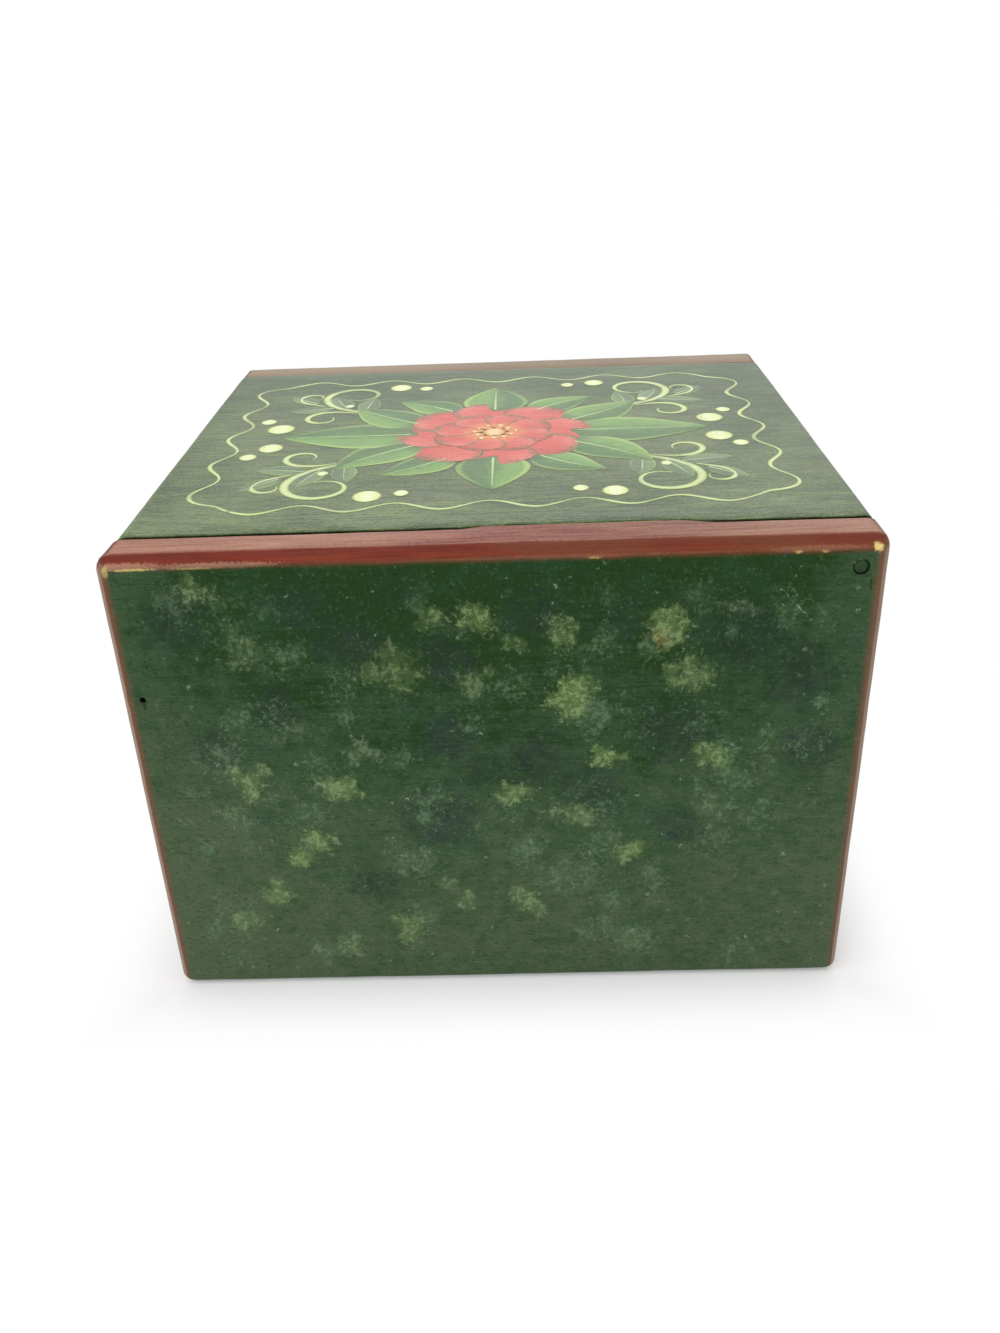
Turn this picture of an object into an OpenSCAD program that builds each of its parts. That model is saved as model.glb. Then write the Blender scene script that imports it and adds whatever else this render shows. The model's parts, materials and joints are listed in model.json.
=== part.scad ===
// Recipe card box: nailed boards, and a lid that turns on two pins between the end boards.
// Millimetres. The origin is under the middle of the box, and the front faces -Y.

/* [Box] */
// Front to back, over the end boards
box_depth = 160; // [120:1:240]
// Clear length between the end boards, for the width of a card
inside_length = 132; // [90:1:200]
// Height over the closed lid
box_height = 113; // [80:1:180]

/* [Boards] */
// Thickness of the two end boards
end_thickness = 12.7; // [9:0.1:19]
// Thickness of the front and back boards
wall_thickness = 9.5; // [7:0.1:14]
// Thickness of the bottom board
bottom_thickness = 6.4; // [4:0.1:10]
// Thickness of the lid board
lid_thickness = 11.5; // [9:0.1:16]

/* [Rounded edges] */
// Round-over along the outer edges of the end boards
end_edge_radius = 3; // [1:0.1:5]
// Corners of the end boards, seen from the end
end_corner_radius = 2.5; // [1:0.1:5]
// Top edges of the lid, along the front and the back
lid_edge_radius = 2; // [0.5:0.1:3]
// Lower front edge of the lid, and the lower outer edges of the front and back boards
small_edge_radius = 1; // [0.3:0.1:2]

/* [Lid hinge] */
// Diameter of the pins that the lid turns on
pin_diameter = 3.2; // [2:0.1:5]
// How far each pin reaches into the lid
pin_depth = 20; // [12:1:40]
// How far each pin is sunk below the end board's outer face
pin_recess = 0.8; // [0.2:0.1:2]
// Chamfer at both ends of a pin
pin_chamfer = 0.5; // [0.2:0.1:0.8]

/* [Thumb notch] */
// Width of the notch in the front board's top edge
notch_width = 36; // [20:1:60]
// Depth of the notch at its middle
notch_depth = 9; // [5:0.5:15]

/* [Bottom] */
// Height of the bottom board's underside over the table
bottom_lift = 6; // [4:0.5:15]
// Depth of the groove that holds the bottom board
groove_depth = 4; // [2:0.5:5]

/* [Nails] */
// Diameter of a nail's shank
nail_diameter = 1.6; // [1:0.1:2.5]
// Length of a nail
nail_length = 32; // [26:1:45]
// Diameter of a nail's head
nail_head_diameter = 2.2; // [1.6:0.1:3.5]
// Thickness of a nail's head
nail_head_height = 1; // [0.5:0.1:2]
// Depth of the head below the end board's face, filled with putty
nail_set = 1.2; // [0.5:0.1:2.5]
// Distance of the highest nail below the top of the box
nail_top_drop = 32; // [20:1:40]
// Distance of the lowest nail above the bottom board
nail_low_rise = 10; // [5:1:20]
// Nails along each corner
nails_per_corner = 3; // [2:1:5]

/* [Clearances] */
// Gap between the lid and each end board
lid_end_gap = 1; // [0.4:0.1:2]
// Gap between the closed lid and the back board, for the lid's heel to turn in
lid_swing_gap = 0.8; // [0.6:0.1:1.5]
// Running clearance round a pin in its end board
pin_clearance = 0.1; // [0.02:0.01:0.1]
// Clearance round a pin in the lid, which grips it
pin_grip = 0.01; // [0.01:0.01:0.03]
// Clearance round the bottom board in its groove
bottom_clearance = 0.2; // [0.1:0.05:0.5]
// Clearance round a nail and its putty
nail_clearance = 0.02; // [0.01:0.01:0.05]

/* [Hidden] */
$fn = 64;

// How far a cutter reaches past the face that it opens
overrun = 1;
inside_depth = box_depth - 2*wall_thickness;
end_face_x = inside_length/2 + end_thickness;
front_y = -box_depth/2;

// The closed lid lies on the front board, and the back board stops a little lower
front_height = box_height - lid_thickness;
back_height = front_height - lid_swing_gap;

// The pins lie in the middle of the lid's thickness, and its heel is a round about them
heel_radius = lid_thickness/2;
pin_y = box_depth/2 - heel_radius;
pin_z = box_height - heel_radius;
lid_length = inside_length - 2*lid_end_gap;
pin_inner_x = lid_length/2 - pin_depth;

// The notch is a part of a circle, from its width and depth
notch_radius = (pow(notch_width/2, 2) + pow(notch_depth, 2)) / (2*notch_depth);

// Nails run through the end boards into the middle of the front and back boards
nail_y = box_depth/2 - wall_thickness/2;
nail_tip_height = 2*nail_diameter;
nail_point_diameter = nail_diameter/4;
nail_high_z = box_height - nail_top_drop;
nail_low_z = bottom_lift + bottom_thickness + nail_low_rise;
nail_rows = [for (i = [0 : nails_per_corner - 1])
    nail_high_z - i*(nail_high_z - nail_low_z)/(nails_per_corner - 1)];
FRONT = -1;
BACK = 1;

paint_green = [0.20, 0.30, 0.17];
lid_green = [0.27, 0.34, 0.26];
bare_wood = [0.76, 0.62, 0.42];
steel = [0.55, 0.56, 0.56];
putty = [0.70, 0.60, 0.45];

// A section drawn in the plane across an axis, made as long as the board
module along_x(length) {
    rotate([90, 0, 90]) linear_extrude(length, center = true) children();
}

module along_y(length) {
    rotate([90, 0, 0]) linear_extrude(length, center = true) children();
}

module along_z(length) {
    linear_extrude(length) children();
}

// The mirror image, on the left, of a piece drawn on the right
module on_left() {
    mirror([1, 0, 0]) children();
}

// What a round-over takes from a square corner at the origin, with the board in +X +Y
module corner_waste(radius) {
    difference() {
        translate([-overrun, -overrun]) square(radius + overrun);
        translate([radius, radius]) circle(radius);
    }
}

// A rectangle from the origin, with a radius for each corner, from the lower left and round to the right.
// A radius of 0 leaves the corner square.
module eased_rectangle(width, height, radii) {
    difference() {
        square([width, height]);
        if (radii[0] > 0) corner_waste(radii[0]);
        if (radii[1] > 0) translate([width, 0]) mirror([1, 0]) corner_waste(radii[1]);
        if (radii[2] > 0) translate([width, height]) rotate(180) corner_waste(radii[2]);
        if (radii[3] > 0) translate([0, height]) mirror([0, 1]) corner_waste(radii[3]);
    }
}

// Nails, with the head at the origin and the point along +Z
module nail() {
    cylinder(d = nail_head_diameter, h = nail_head_height);
    cylinder(d = nail_diameter, h = nail_length - nail_tip_height);
    translate([0, 0, nail_length - nail_tip_height])
        cylinder(d1 = nail_diameter, d2 = nail_point_diameter, h = nail_tip_height);
}

module nail_hole() {
    shank = nail_diameter + 2*nail_clearance;
    pit = nail_head_diameter + 2*nail_clearance;
    cylinder(d = shank, h = nail_length + nail_clearance);
    translate([0, 0, -nail_set - overrun])
        cylinder(d = pit, h = nail_set + overrun + nail_head_height + nail_clearance);
}

// Sets its children at the nails of one right-hand corner, pointing into the box
module at_nails(side, rows = nail_rows) {
    for (z = rows)
        translate([end_face_x - nail_set, side*nail_y, z]) rotate([0, -90, 0]) children();
}

module every_nail_hole() {
    for (side = [FRONT, BACK]) {
        at_nails(side) nail_hole();
        on_left() at_nails(side) nail_hole();
    }
}

// Wood filler over a set nail's head, flush with the end board
module filler_plug() {
    translate([0, 0, -nail_set]) cylinder(d = nail_head_diameter, h = nail_set);
}

// The groove that runs round the inside for the bottom board
module bottom_groove() {
    translate([-inside_length/2 - groove_depth, -inside_depth/2 - groove_depth, bottom_lift])
        cube([inside_length + 2*groove_depth, inside_depth + 2*groove_depth,
              bottom_thickness + bottom_clearance]);
}

// Where the two outer edges of the end board's section are rounded, over its whole size
module end_edge_wastes(size) {
    translate([end_face_x, 0]) mirror([1, 0]) corner_waste(end_edge_radius);
    translate([end_face_x, size]) rotate(180) corner_waste(end_edge_radius);
}

// The right end board
module end_board() {
    difference() {
        translate([inside_length/2 + end_thickness/2, front_y, 0])
            along_x(end_thickness)
                eased_rectangle(box_depth, box_height, [for (i = [1:4]) end_corner_radius]);
        along_y(box_depth + 2*overrun) end_edge_wastes(box_height);
        translate([0, front_y, -overrun])
            along_z(box_height + 2*overrun) end_edge_wastes(box_depth);
        translate([inside_length/2 - overrun, pin_y, pin_z]) rotate([0, 90, 0])
            cylinder(d = pin_diameter + 2*pin_clearance, h = end_thickness + 2*overrun);
        every_nail_hole();
        bottom_groove();
    }
}

module right_end() {
    color(paint_green) end_board();
}

module left_end() {
    color(paint_green) on_left() end_board();
}

// Front board, with a thumb notch under the lid
module front_panel() {
    color(paint_green) difference() {
        translate([0, front_y, 0])
            along_x(inside_length)
                eased_rectangle(wall_thickness, front_height, [small_edge_radius, 0, 0, 0]);
        translate([0, front_y - overrun, front_height - notch_depth + notch_radius])
            rotate([-90, 0, 0]) cylinder(r = notch_radius, h = wall_thickness + 2*overrun);
        every_nail_hole();
        bottom_groove();
    }
}

// Back board, a little lower than the front
module back_panel() {
    color(paint_green) difference() {
        translate([0, box_depth/2 - wall_thickness, 0])
            along_x(inside_length)
                eased_rectangle(wall_thickness, back_height, [0, small_edge_radius, 0, 0]);
        every_nail_hole();
        bottom_groove();
    }
}

// Bottom board, held in the groove on all four sides
module bottom_panel() {
    length = inside_length + 2*(groove_depth - bottom_clearance);
    depth = inside_depth + 2*(groove_depth - bottom_clearance);
    color(bare_wood) translate([-length/2, -depth/2, bottom_lift])
        cube([length, depth, bottom_thickness]);
}

// Lid, with a round heel that turns over the back board and a back edge that stops it just past upright
module lid() {
    radii = [small_edge_radius, heel_radius, lid_edge_radius, lid_edge_radius];
    bore = pin_depth + pin_grip;
    color(lid_green) difference() {
        translate([0, front_y, front_height])
            along_x(lid_length) eased_rectangle(box_depth, lid_thickness, radii);
        for (side = [-1, 1])
            translate([side*lid_length/2, pin_y, pin_z]) rotate([0, -90*side, 0])
                translate([0, 0, -overrun])
                    cylinder(d = pin_diameter + 2*pin_grip, h = bore + overrun);
    }
}

// A pin that turns in the end board's bore and is tight in the lid
module pivot_pin() {
    length = end_face_x - pin_recess - pin_inner_x;
    radius = pin_diameter/2;
    color(steel) translate([pin_inner_x, pin_y, pin_z]) rotate([0, 90, 0])
        rotate_extrude()
            polygon([[0, 0], [radius - pin_chamfer, 0], [radius, pin_chamfer],
                     [radius, length - pin_chamfer], [radius - pin_chamfer, length], [0, length]]);
}

module right_pivot_pin() {
    pivot_pin();
}

module left_pivot_pin() {
    on_left() pivot_pin();
}

module right_front_nails() {
    color(steel) at_nails(FRONT) nail();
}

module right_back_nails() {
    color(steel) at_nails(BACK) nail();
}

module left_front_nails() {
    color(steel) on_left() at_nails(FRONT) nail();
}

module left_back_nails() {
    color(steel) on_left() at_nails(BACK) nail();
}

// The filler over the right end's highest front nail has dropped out, so its pit is open
module right_filler_plugs() {
    filled_rows = [for (i = [1 : nails_per_corner - 1]) nail_rows[i]];
    color(putty) {
        at_nails(FRONT, filled_rows) filler_plug();
        at_nails(BACK) filler_plug();
    }
}

module left_filler_plugs() {
    color(putty) on_left() for (side = [FRONT, BACK]) at_nails(side) filler_plug();
}

right_end();
left_end();
front_panel();
back_panel();
bottom_panel();
lid();
right_pivot_pin();
left_pivot_pin();
right_front_nails();
right_back_nails();
left_front_nails();
left_back_nails();
right_filler_plugs();
left_filler_plugs();
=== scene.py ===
"""Looks of a painted recipe card box: boards, pins, painted lid design and stage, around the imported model."""
import json
import math
import random

import bmesh
import bpy
from bpy.props import FloatProperty, FloatVectorProperty, IntProperty, PointerProperty
from mathutils import Matrix, Vector, noise


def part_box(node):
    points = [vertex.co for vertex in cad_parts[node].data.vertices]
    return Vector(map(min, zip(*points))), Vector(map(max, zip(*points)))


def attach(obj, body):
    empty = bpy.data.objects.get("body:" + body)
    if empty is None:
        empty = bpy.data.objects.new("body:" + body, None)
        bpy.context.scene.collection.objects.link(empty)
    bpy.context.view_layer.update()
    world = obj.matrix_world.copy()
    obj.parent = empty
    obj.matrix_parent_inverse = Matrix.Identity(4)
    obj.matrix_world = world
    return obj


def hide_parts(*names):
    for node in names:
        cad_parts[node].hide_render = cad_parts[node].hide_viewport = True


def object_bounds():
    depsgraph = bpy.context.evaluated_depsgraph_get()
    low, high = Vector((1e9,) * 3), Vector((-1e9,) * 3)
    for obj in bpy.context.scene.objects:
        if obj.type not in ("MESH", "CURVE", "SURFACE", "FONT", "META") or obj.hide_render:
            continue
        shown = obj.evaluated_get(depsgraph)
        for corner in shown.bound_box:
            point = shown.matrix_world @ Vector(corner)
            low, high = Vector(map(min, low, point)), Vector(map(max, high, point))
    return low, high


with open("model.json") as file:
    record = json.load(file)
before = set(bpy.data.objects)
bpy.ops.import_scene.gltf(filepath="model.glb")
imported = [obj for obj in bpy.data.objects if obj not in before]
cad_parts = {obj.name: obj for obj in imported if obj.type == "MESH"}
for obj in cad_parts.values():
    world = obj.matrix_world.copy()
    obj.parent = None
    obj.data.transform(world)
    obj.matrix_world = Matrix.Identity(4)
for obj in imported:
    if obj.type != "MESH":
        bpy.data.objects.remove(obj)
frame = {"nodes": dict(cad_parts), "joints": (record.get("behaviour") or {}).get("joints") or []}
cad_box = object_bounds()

bl_info = {
    "name": "Recipe card box",
    "version": (1, 0, 0),
    "blender": (4, 5, 0),
    "location": "View3D > Sidebar > Card box",
    "description": "Builds the painted boards, pins and lid design of a recipe card box",
    "category": "Object",
}

MM = 0.001
SAME_PLACE = 1e-6
CUT_PLACE = 1e-7
SHARP_ANGLE = math.radians(32)
GRAIN_ALONG_X = math.radians(90)
AXES = {"x": 0, "y": 1, "z": 2}
HINGE = Vector(frame["joints"][0]["pos_m"])
LID_LOW, LID_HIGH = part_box("lid")
LID_MIDDLE = (LID_LOW + LID_HIGH) / 2
# How deep a stroke of paint reaches into the lid, and its half width in mm at its tips
STROKE_SINK = 0.25 * MM
STROKE_TIP = 0.02
# The ways of flipping a line about the lid's two middle lines
FOUR_WAYS = ((1, 1), (1, -1), (-1, 1), (-1, -1))
# How far the right end board leans and swells towards the lid, and the lid's end draws back from it
BOARD_LEAN = 0.12 * MM
BOARD_SWELLING = 1.73 * MM
LID_DRAWN_BACK = 0.95 * MM
# Room that keeps two faces apart, a thin floor over the open pit's nail that carries painted shade, and the
# soft rim of a drilled hole
HAIR_GAP = 0.01 * MM
PIT_FLOOR_OVER_NAIL = 0.03 * MM
LIP_SPREAD = 0.06 * MM
LIP_DEPTH = 0.1 * MM
# How far round a hole a board stays as it was before sanding
HOLE_SURROUND = 4 * MM
PIN_ROUNDING = 0.5 * MM
# Painted shade on the lid's ends, for the dark gap beside the end boards, at their upper edge and further down
UPPER_GAP_SHADE = 0.97
LOWER_GAP_SHADE = 0.5
# Sizes in mm and strengths of sponge marks at random places
DAB_RANGES = ((7, 14), (0.35, 1.0))
HAZE_RANGES = ((6, 14), (0.3, 0.75))
CLOUD_RANGES = ((14, 24), (0.8, 1.0))
# Place and size of each lamp in metres, the point that both look at, and the floor's radius
KEY_LAMP = ((0.75, -0.85, 1.0), 1.1)
BACK_LAMP = ((-1.25, 0.15, 0.85), 1.3)
LAMP_AIM = Vector((0.0, 0.0, 0.06))
FLOOR_RADIUS = 6.0
WHITE = (1.0, 1.0, 1.0, 1.0)


def srgb(red, green, blue):
    """Linear colour of the 0 to 255 values that a colour picker shows."""
    shares = (value / 255 for value in (red, green, blue))
    return tuple(s / 12.92 if s <= 0.04045 else ((s + 0.055) / 1.055) ** 2.4 for s in shares)


def length(name, description, millimetres):
    """A size property, given in millimetres and kept in metres."""
    return FloatProperty(name=name, description=description, default=millimetres * MM, min=0.0, unit="LENGTH")


def number(name, description, default, least=0.0, **limits):
    """A property for a plain number."""
    return FloatProperty(name=name, description=description, default=default, min=least, **limits)


def view_angle(name, description, degrees):
    """An angle property, given in degrees."""
    return FloatProperty(name=name, description=description, default=math.radians(degrees), subtype="ANGLE")


def colour(name, description, red, green, blue):
    """A colour property."""
    return FloatVectorProperty(
        name=name, description=description, default=srgb(red, green, blue), min=0.0, max=1.0, subtype="COLOR")


class BoardSizes(bpy.types.PropertyGroup):
    """Sizes of the boards' edges and holes"""

    end_edge: length("End corners", "Rounding of the right end board's four corners", 2.9)
    end_slope: length("End slope", "Width of the slope planed on the end boards' outer edges", 1.6)
    top_reach: length("Top slope reach", "How far the slope reaches in over the right end board's top", 4.3)
    top_drop: length("Top slope drop", "How far that slope reaches down the face", 1.9)
    eased_edge: length("Eased edge", "Sanded corner of an edge that is otherwise square", 0.5)
    lid_edge: length("Lid rounding", "Rounding of the lid's upper front edge", 3.0)
    lid_back_edge: length("Lid back rounding", "Rounding of the lid's upper back edge", 1.9)
    lid_heel: length("Lid heel", "Rounding of the lid's lower back edge, which clears the back board", 5.75)
    pin_bore: length("Pin bore", "Diameter of the hole that a pivot pin turns in, narrowed by paint", 3.3)
    pin_film: length("Pin paint", "Thickness of the paint that fills a pin's hole over the pin's end", 0.5)
    nail_pit: length("Nail pit", "Diameter of the open pit over a nail head, narrowed by paint", 1.25)
    notch_width: length("Notch width", "Width of the thumb notch in the front board", 36.0)
    notch_depth: length("Notch depth", "Depth of the thumb notch in the front board", 9.0)
    sanding: length("Sanding", "How far the edges waver from hand sanding", 0.22)
    grid: length("Mesh spacing", "Spacing of the mesh lines on painted faces", 1.5)


class PaintColours(bpy.types.PropertyGroup):
    """Colours and gloss of the boards' paint, and the wood under it"""

    green: colour("Green", "Main coat on the boards", 26, 56, 16)
    mid_green: colour("Middle green", "Main coat where it is less full", 50, 76, 45)
    # Also painted sheen: the coat is mixed towards the dull green lower down and near the upright edges
    dull_green: colour("Dull green", "Thin, greyer parts of the main coat", 74, 91, 63)
    blue_green: colour("Blue green", "Dark sponged clouds", 28, 48, 36)
    teal_green: colour("Teal green", "Cooler patches of the main coat", 42, 78, 58)
    slate: colour("Slate", "Greyest parts of the dark clouds", 38, 50, 52)
    pore_green: colour("Pore green", "Pores and fine lines where the coat is darkest", 16, 32, 16)
    dab_green: colour("Dab green", "Sponged dabs", 130, 161, 90)
    dab_pale: colour("Dab pale", "Lacy flecks on the dabs", 164, 184, 128)
    dab_grey: colour("Dab grey", "Thin sponged dabs and haze", 106, 133, 98)
    dab_warm: colour("Dab warm", "Warm touch in one dab", 186, 128, 54)
    fleck: colour("Fleck", "Small loose flecks", 144, 164, 132)
    edge_red: colour("Edge red", "Paint on the end boards' edges", 114, 30, 8)
    edge_bright: colour("Edge bright", "Fullest parts of the edge paint", 154, 36, 12)
    edge_dark: colour("Edge dark", "Streaks and lower rim of the edge paint", 84, 30, 18)
    edge_brown: colour("Edge brown", "Thin parts of the edge paint", 117, 65, 38)
    edge_dull: colour("Edge dull", "Worn paint on the upright edges", 134, 125, 106)
    # Also the colour of painted sheen on the end boards' top faces and the outer part of their upright slopes
    edge_faded: colour("Edge faded", "Rubbed parts of the end boards' top edges", 173, 128, 105)
    # Dust on the left board's top, which also stands for painted sheen on that far edge
    edge_dust: colour("Edge dust", "Dust on the left end board's top edge", 134, 130, 103)
    lid_green: colour("Lid green", "Coat on the lid", 44, 72, 22)
    lid_dull: colour("Lid dull green", "Thinner streaks in the lid's coat", 122, 138, 88)
    lid_grey: colour("Lid grey", "Greyish patches in the lid's coat", 104, 102, 84)
    primer: colour("Primer", "Cream layer that shows where paint has chipped", 226, 205, 126)
    # Painted shade: this dark colour is laid in the open pit, the pin holes, on the pins' ends and on the lid's
    # ends beside the end boards
    grime: colour("Grime", "Dirt in pits, gaps and round holes", 14, 14, 10)
    wood_light: colour("Wood, light", "Bare wood between grain lines", 206, 172, 122)
    wood_dark: colour("Wood, dark", "Grain lines of the bare wood", 158, 114, 70)
    steel_dark: colour("Steel, dark", "Darker streaks of the pins and nails", 120, 120, 118)
    steel_light: colour("Steel, light", "Lighter streaks of the pins and nails", 160, 160, 156)
    rust: colour("Rust", "Rust spots on the pins and nails", 74, 46, 30)
    face_gloss: number("Face gloss", "Specular level of the sponged faces", 0.12, max=1.0)
    edge_gloss: number("Edge gloss", "Specular level of the red edges", 0.17, max=1.0)
    lid_gloss: number("Lid gloss", "Specular level of the lid's upper side", 0.45, max=1.0)
    # The lid's ends carry painted shade for the dark gap beside the end boards
    lid_end_gloss: number("Lid end gloss", "Specular level of the lid's dirty ends", 0.04, max=1.0)


class LidDesign(bpy.types.PropertyGroup):
    """Sizes and colours of the design painted on the lid"""

    film: length("Paint film", "Height of one brush stroke", 0.03)
    flower_radius: length("Flower radius", "Reach of the outer petals", 27.0)
    petals: IntProperty(name="Petals", description="Number of petals in each ring", default=8, min=3)
    border_inset: length("Border inset", "Distance of the wavy line from the lid's edges", 13.0)
    border_wave: length("Border wave", "Height of the border's waves", 2.2)
    line_width: length("Line width", "Width of the border line and the thin scrolls", 1.1)
    petal_red: colour("Petal red", "Outer part of the petals", 204, 78, 64)
    petal_pale: colour("Petal pale", "Pale side of the petals' tips", 222, 120, 102)
    petal_deep: colour("Petal deep red", "Shaded side of the petals", 158, 48, 42)
    petal_glow: colour("Petal glow", "Inner part of the petals", 228, 142, 78)
    middle: colour("Flower middle", "Round dots in the flower's middle", 226, 168, 78)
    leaf_dark: colour("Leaf, dark", "Shaded half of the leaves", 66, 110, 48)
    leaf_light: colour("Leaf, light", "Lit half of the leaves", 116, 160, 76)
    leaf_edge: colour("Leaf edge", "Pale rim and veins of the leaves", 168, 196, 104)
    sprig_dark: colour("Sprig, dark", "Shaded half of the small leaves", 92, 118, 84)
    sprig_light: colour("Sprig, light", "Lit half of the small leaves", 124, 150, 104)
    line: colour("Line", "Scrolls and border", 186, 204, 104)
    dot: colour("Dot", "Round dots", 216, 226, 146)


class StageLook(bpy.types.PropertyGroup):
    """Camera, lamps and floor"""

    camera_place: FloatVectorProperty(
        name="Camera place", description="Where the camera stands", default=(0.29234, 0.00734, 0.20174),
        subtype="TRANSLATION")
    camera_azimuth: view_angle("Camera azimuth", "Turn of the view from straight at the right end", 1.625)
    camera_elevation: view_angle("Camera elevation", "Angle at which the camera looks down", 28.248)
    camera_roll: view_angle("Camera roll", "Tilt of the picture", -2.293)
    lens: number("Lens", "Focal length in millimetres", 31.288, least=1.0)
    sky: number("Sky", "Strength of the even light from all round", 0.85)
    key_power: number("Key light", "Power of the soft lamp in front", 7.0, subtype="POWER")
    back_power: number("Back light", "Power of the soft lamp behind", 5.0, subtype="POWER")
    floor_grey: number("Floor", "Brightness of the floor near the box", 0.9, max=1.0)


# Sponge dabs on the right end: from the front edge, up from the base, size (all mm), strength, greyness
RIGHT_END_DABS = (
    (97, 80, 14, 0.95, 0.0), (117, 95, 13, 0.78, 0.1), (121, 84, 11, 0.62, 0.1), (94, 94, 11, 0.65, 0.3),
    (78, 98, 10, 0.75, 0.1), (68, 99, 8, 0.48, 0.2), (60, 86, 17, 0.42, 0.2), (76, 83, 10, 0.4, 0.3),
    (85, 92, 7, 0.5, 0.4), (127, 64, 9, 0.7, 0.1), (104, 64, 8, 1.0, 0.1), (110, 38, 9, 0.85, 0.2),
    (83, 55, 9, 0.9, 0.1), (92, 50, 7, 0.5, 0.4), (99, 48, 8, 0.9, 0.4), (46, 57, 10, 0.75, 0.2),
    (25, 59, 12, 0.7, 0.3), (28, 91, 10, 0.34, 0.5), (20, 106, 9, 0.6, 0.4), (38, 42, 10, 0.9, 0.2),
    (33, 38, 8, 0.8, 0.1), (27, 28, 9, 0.95, 0.3), (58, 37, 13, 0.55, 1.0), (58, 17, 10, 0.52, 0.2),
    (72, 25, 8, 0.6, 0.6), (86, 24, 11, 0.65, 0.3), (127, 50, 11, 0.6, 0.9), (18, 20, 8, 0.6, 0.4),
    (36, 10, 10, 0.45, 0.9), (43, 12, 10, 0.6, 0.7), (103, 16, 12, 0.4, 0.9), (115, 24, 9, 0.25, 0.8),
    (131, 99, 9, 0.4, 0.9), (66, 30, 7, 0.5, 0.7), (36, 72, 13, 0.15, 1.0), (50, 67, 10, 0.5, 0.9),
    (61, 55, 9, 0.2, 0.9), (20, 49, 10, 0.3, 0.9), (124, 36, 9, 0.1, 0.8), (138, 60, 8, 0.2, 1.0),
)
# Middle of the one dab with a warm touch, in the same form
WARM_SPOT = (114, 92)
# Dark clouds on the right end: from the front edge, up from the base and size, all in mm
RIGHT_END_CLOUDS = (
    (106, 99, 22), (132, 93, 24), (118, 70, 20), (89, 63, 18), (144, 84, 22), (50, 96, 24), (33, 78, 14),
    (19, 68, 16), (69, 69, 16), (77, 61, 13), (66, 49, 22), (100, 55, 20), (88, 100, 20), (70, 90, 18),
    (120, 45, 14), (50, 30, 14), (42, 104, 20), (61, 106, 18), (148, 65, 17), (15, 100, 19),
)
# Chips in the right end's edge paint: middle and reach along X, Y and Z in mm, and how bare they are. The long
# one on the inner top edge at X 64.3 mm is a painted highlight on the swollen ridge, not a chip.
EDGE_CHIPS = (
    ((78.0, 77.4, 111.2), (2.1, 1.0, 0.9), 0.92), ((78.4, -77.7, 110.6), (1.6, 0.75, 1.4), 0.38),
    ((78.7, -72.5, 111.0), (1.6, 5.5, 0.26), 0.5), ((78.7, -60.0, 110.95), (1.4, 5.0, 0.22), 0.2),
    ((78.7, 61.5, 110.8), (1.2, 1.2, 0.36), 0.4), ((78.7, 66.8, 110.75), (1.2, 1.0, 0.32), 0.35),
    ((78.7, 21.0, 110.85), (1.2, 1.6, 0.3), 0.3), ((64.3, 20.0, 113.0), (0.5, 24.0, 0.9), 0.5),
    ((65.2, 45.0, 113.0), (0.6, 2.4, 0.8), 0.7),
)
# Places where the right end's edge paint is rubbed pale, in the same form
RUBBED_EDGES = (
    ((78.2, -74.0, 111.5), (1.9, 9.0, 0.8), 0.85), ((78.3, -56.0, 111.3), (1.7, 16.0, 0.62), 0.75),
    ((78.2, 66.0, 111.2), (1.9, 13.0, 0.6), 0.3), ((78.4, 15.0, 111.1), (1.4, 45.0, 0.35), 0.2),
)
# Scratches on the right end: start and end (from the front edge, up from the base) and half width, in mm. The
# last, by the pin's upper front rim, is a pale scuff together with a painted highlight on the paint's rim.
SCRATCHES = (
    ((138.1, 103.6), (145.2, 95.8), 0.2), ((140.6, 103.0), (143.6, 99.4), 0.14),
    ((136.4, 101.6), (139.6, 99.2), 0.14), ((152.9, 108.3), (154.1, 108.9), 0.3),
)
# Dark runs of paint by the right pin and below the open nail pit, in the same form
PAINT_RUNS = (((156.4, 104.4), (156.7, 102.2), 0.35), ((4.8, 80.6), (4.9, 79.0), 0.55))


def smooth_step(value, low, high):
    """0 below low, 1 above high, with a soft step between them."""
    share = min(max((value - low) / (high - low), 0.0), 1.0)
    return share * share * (3.0 - 2.0 * share)


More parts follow.
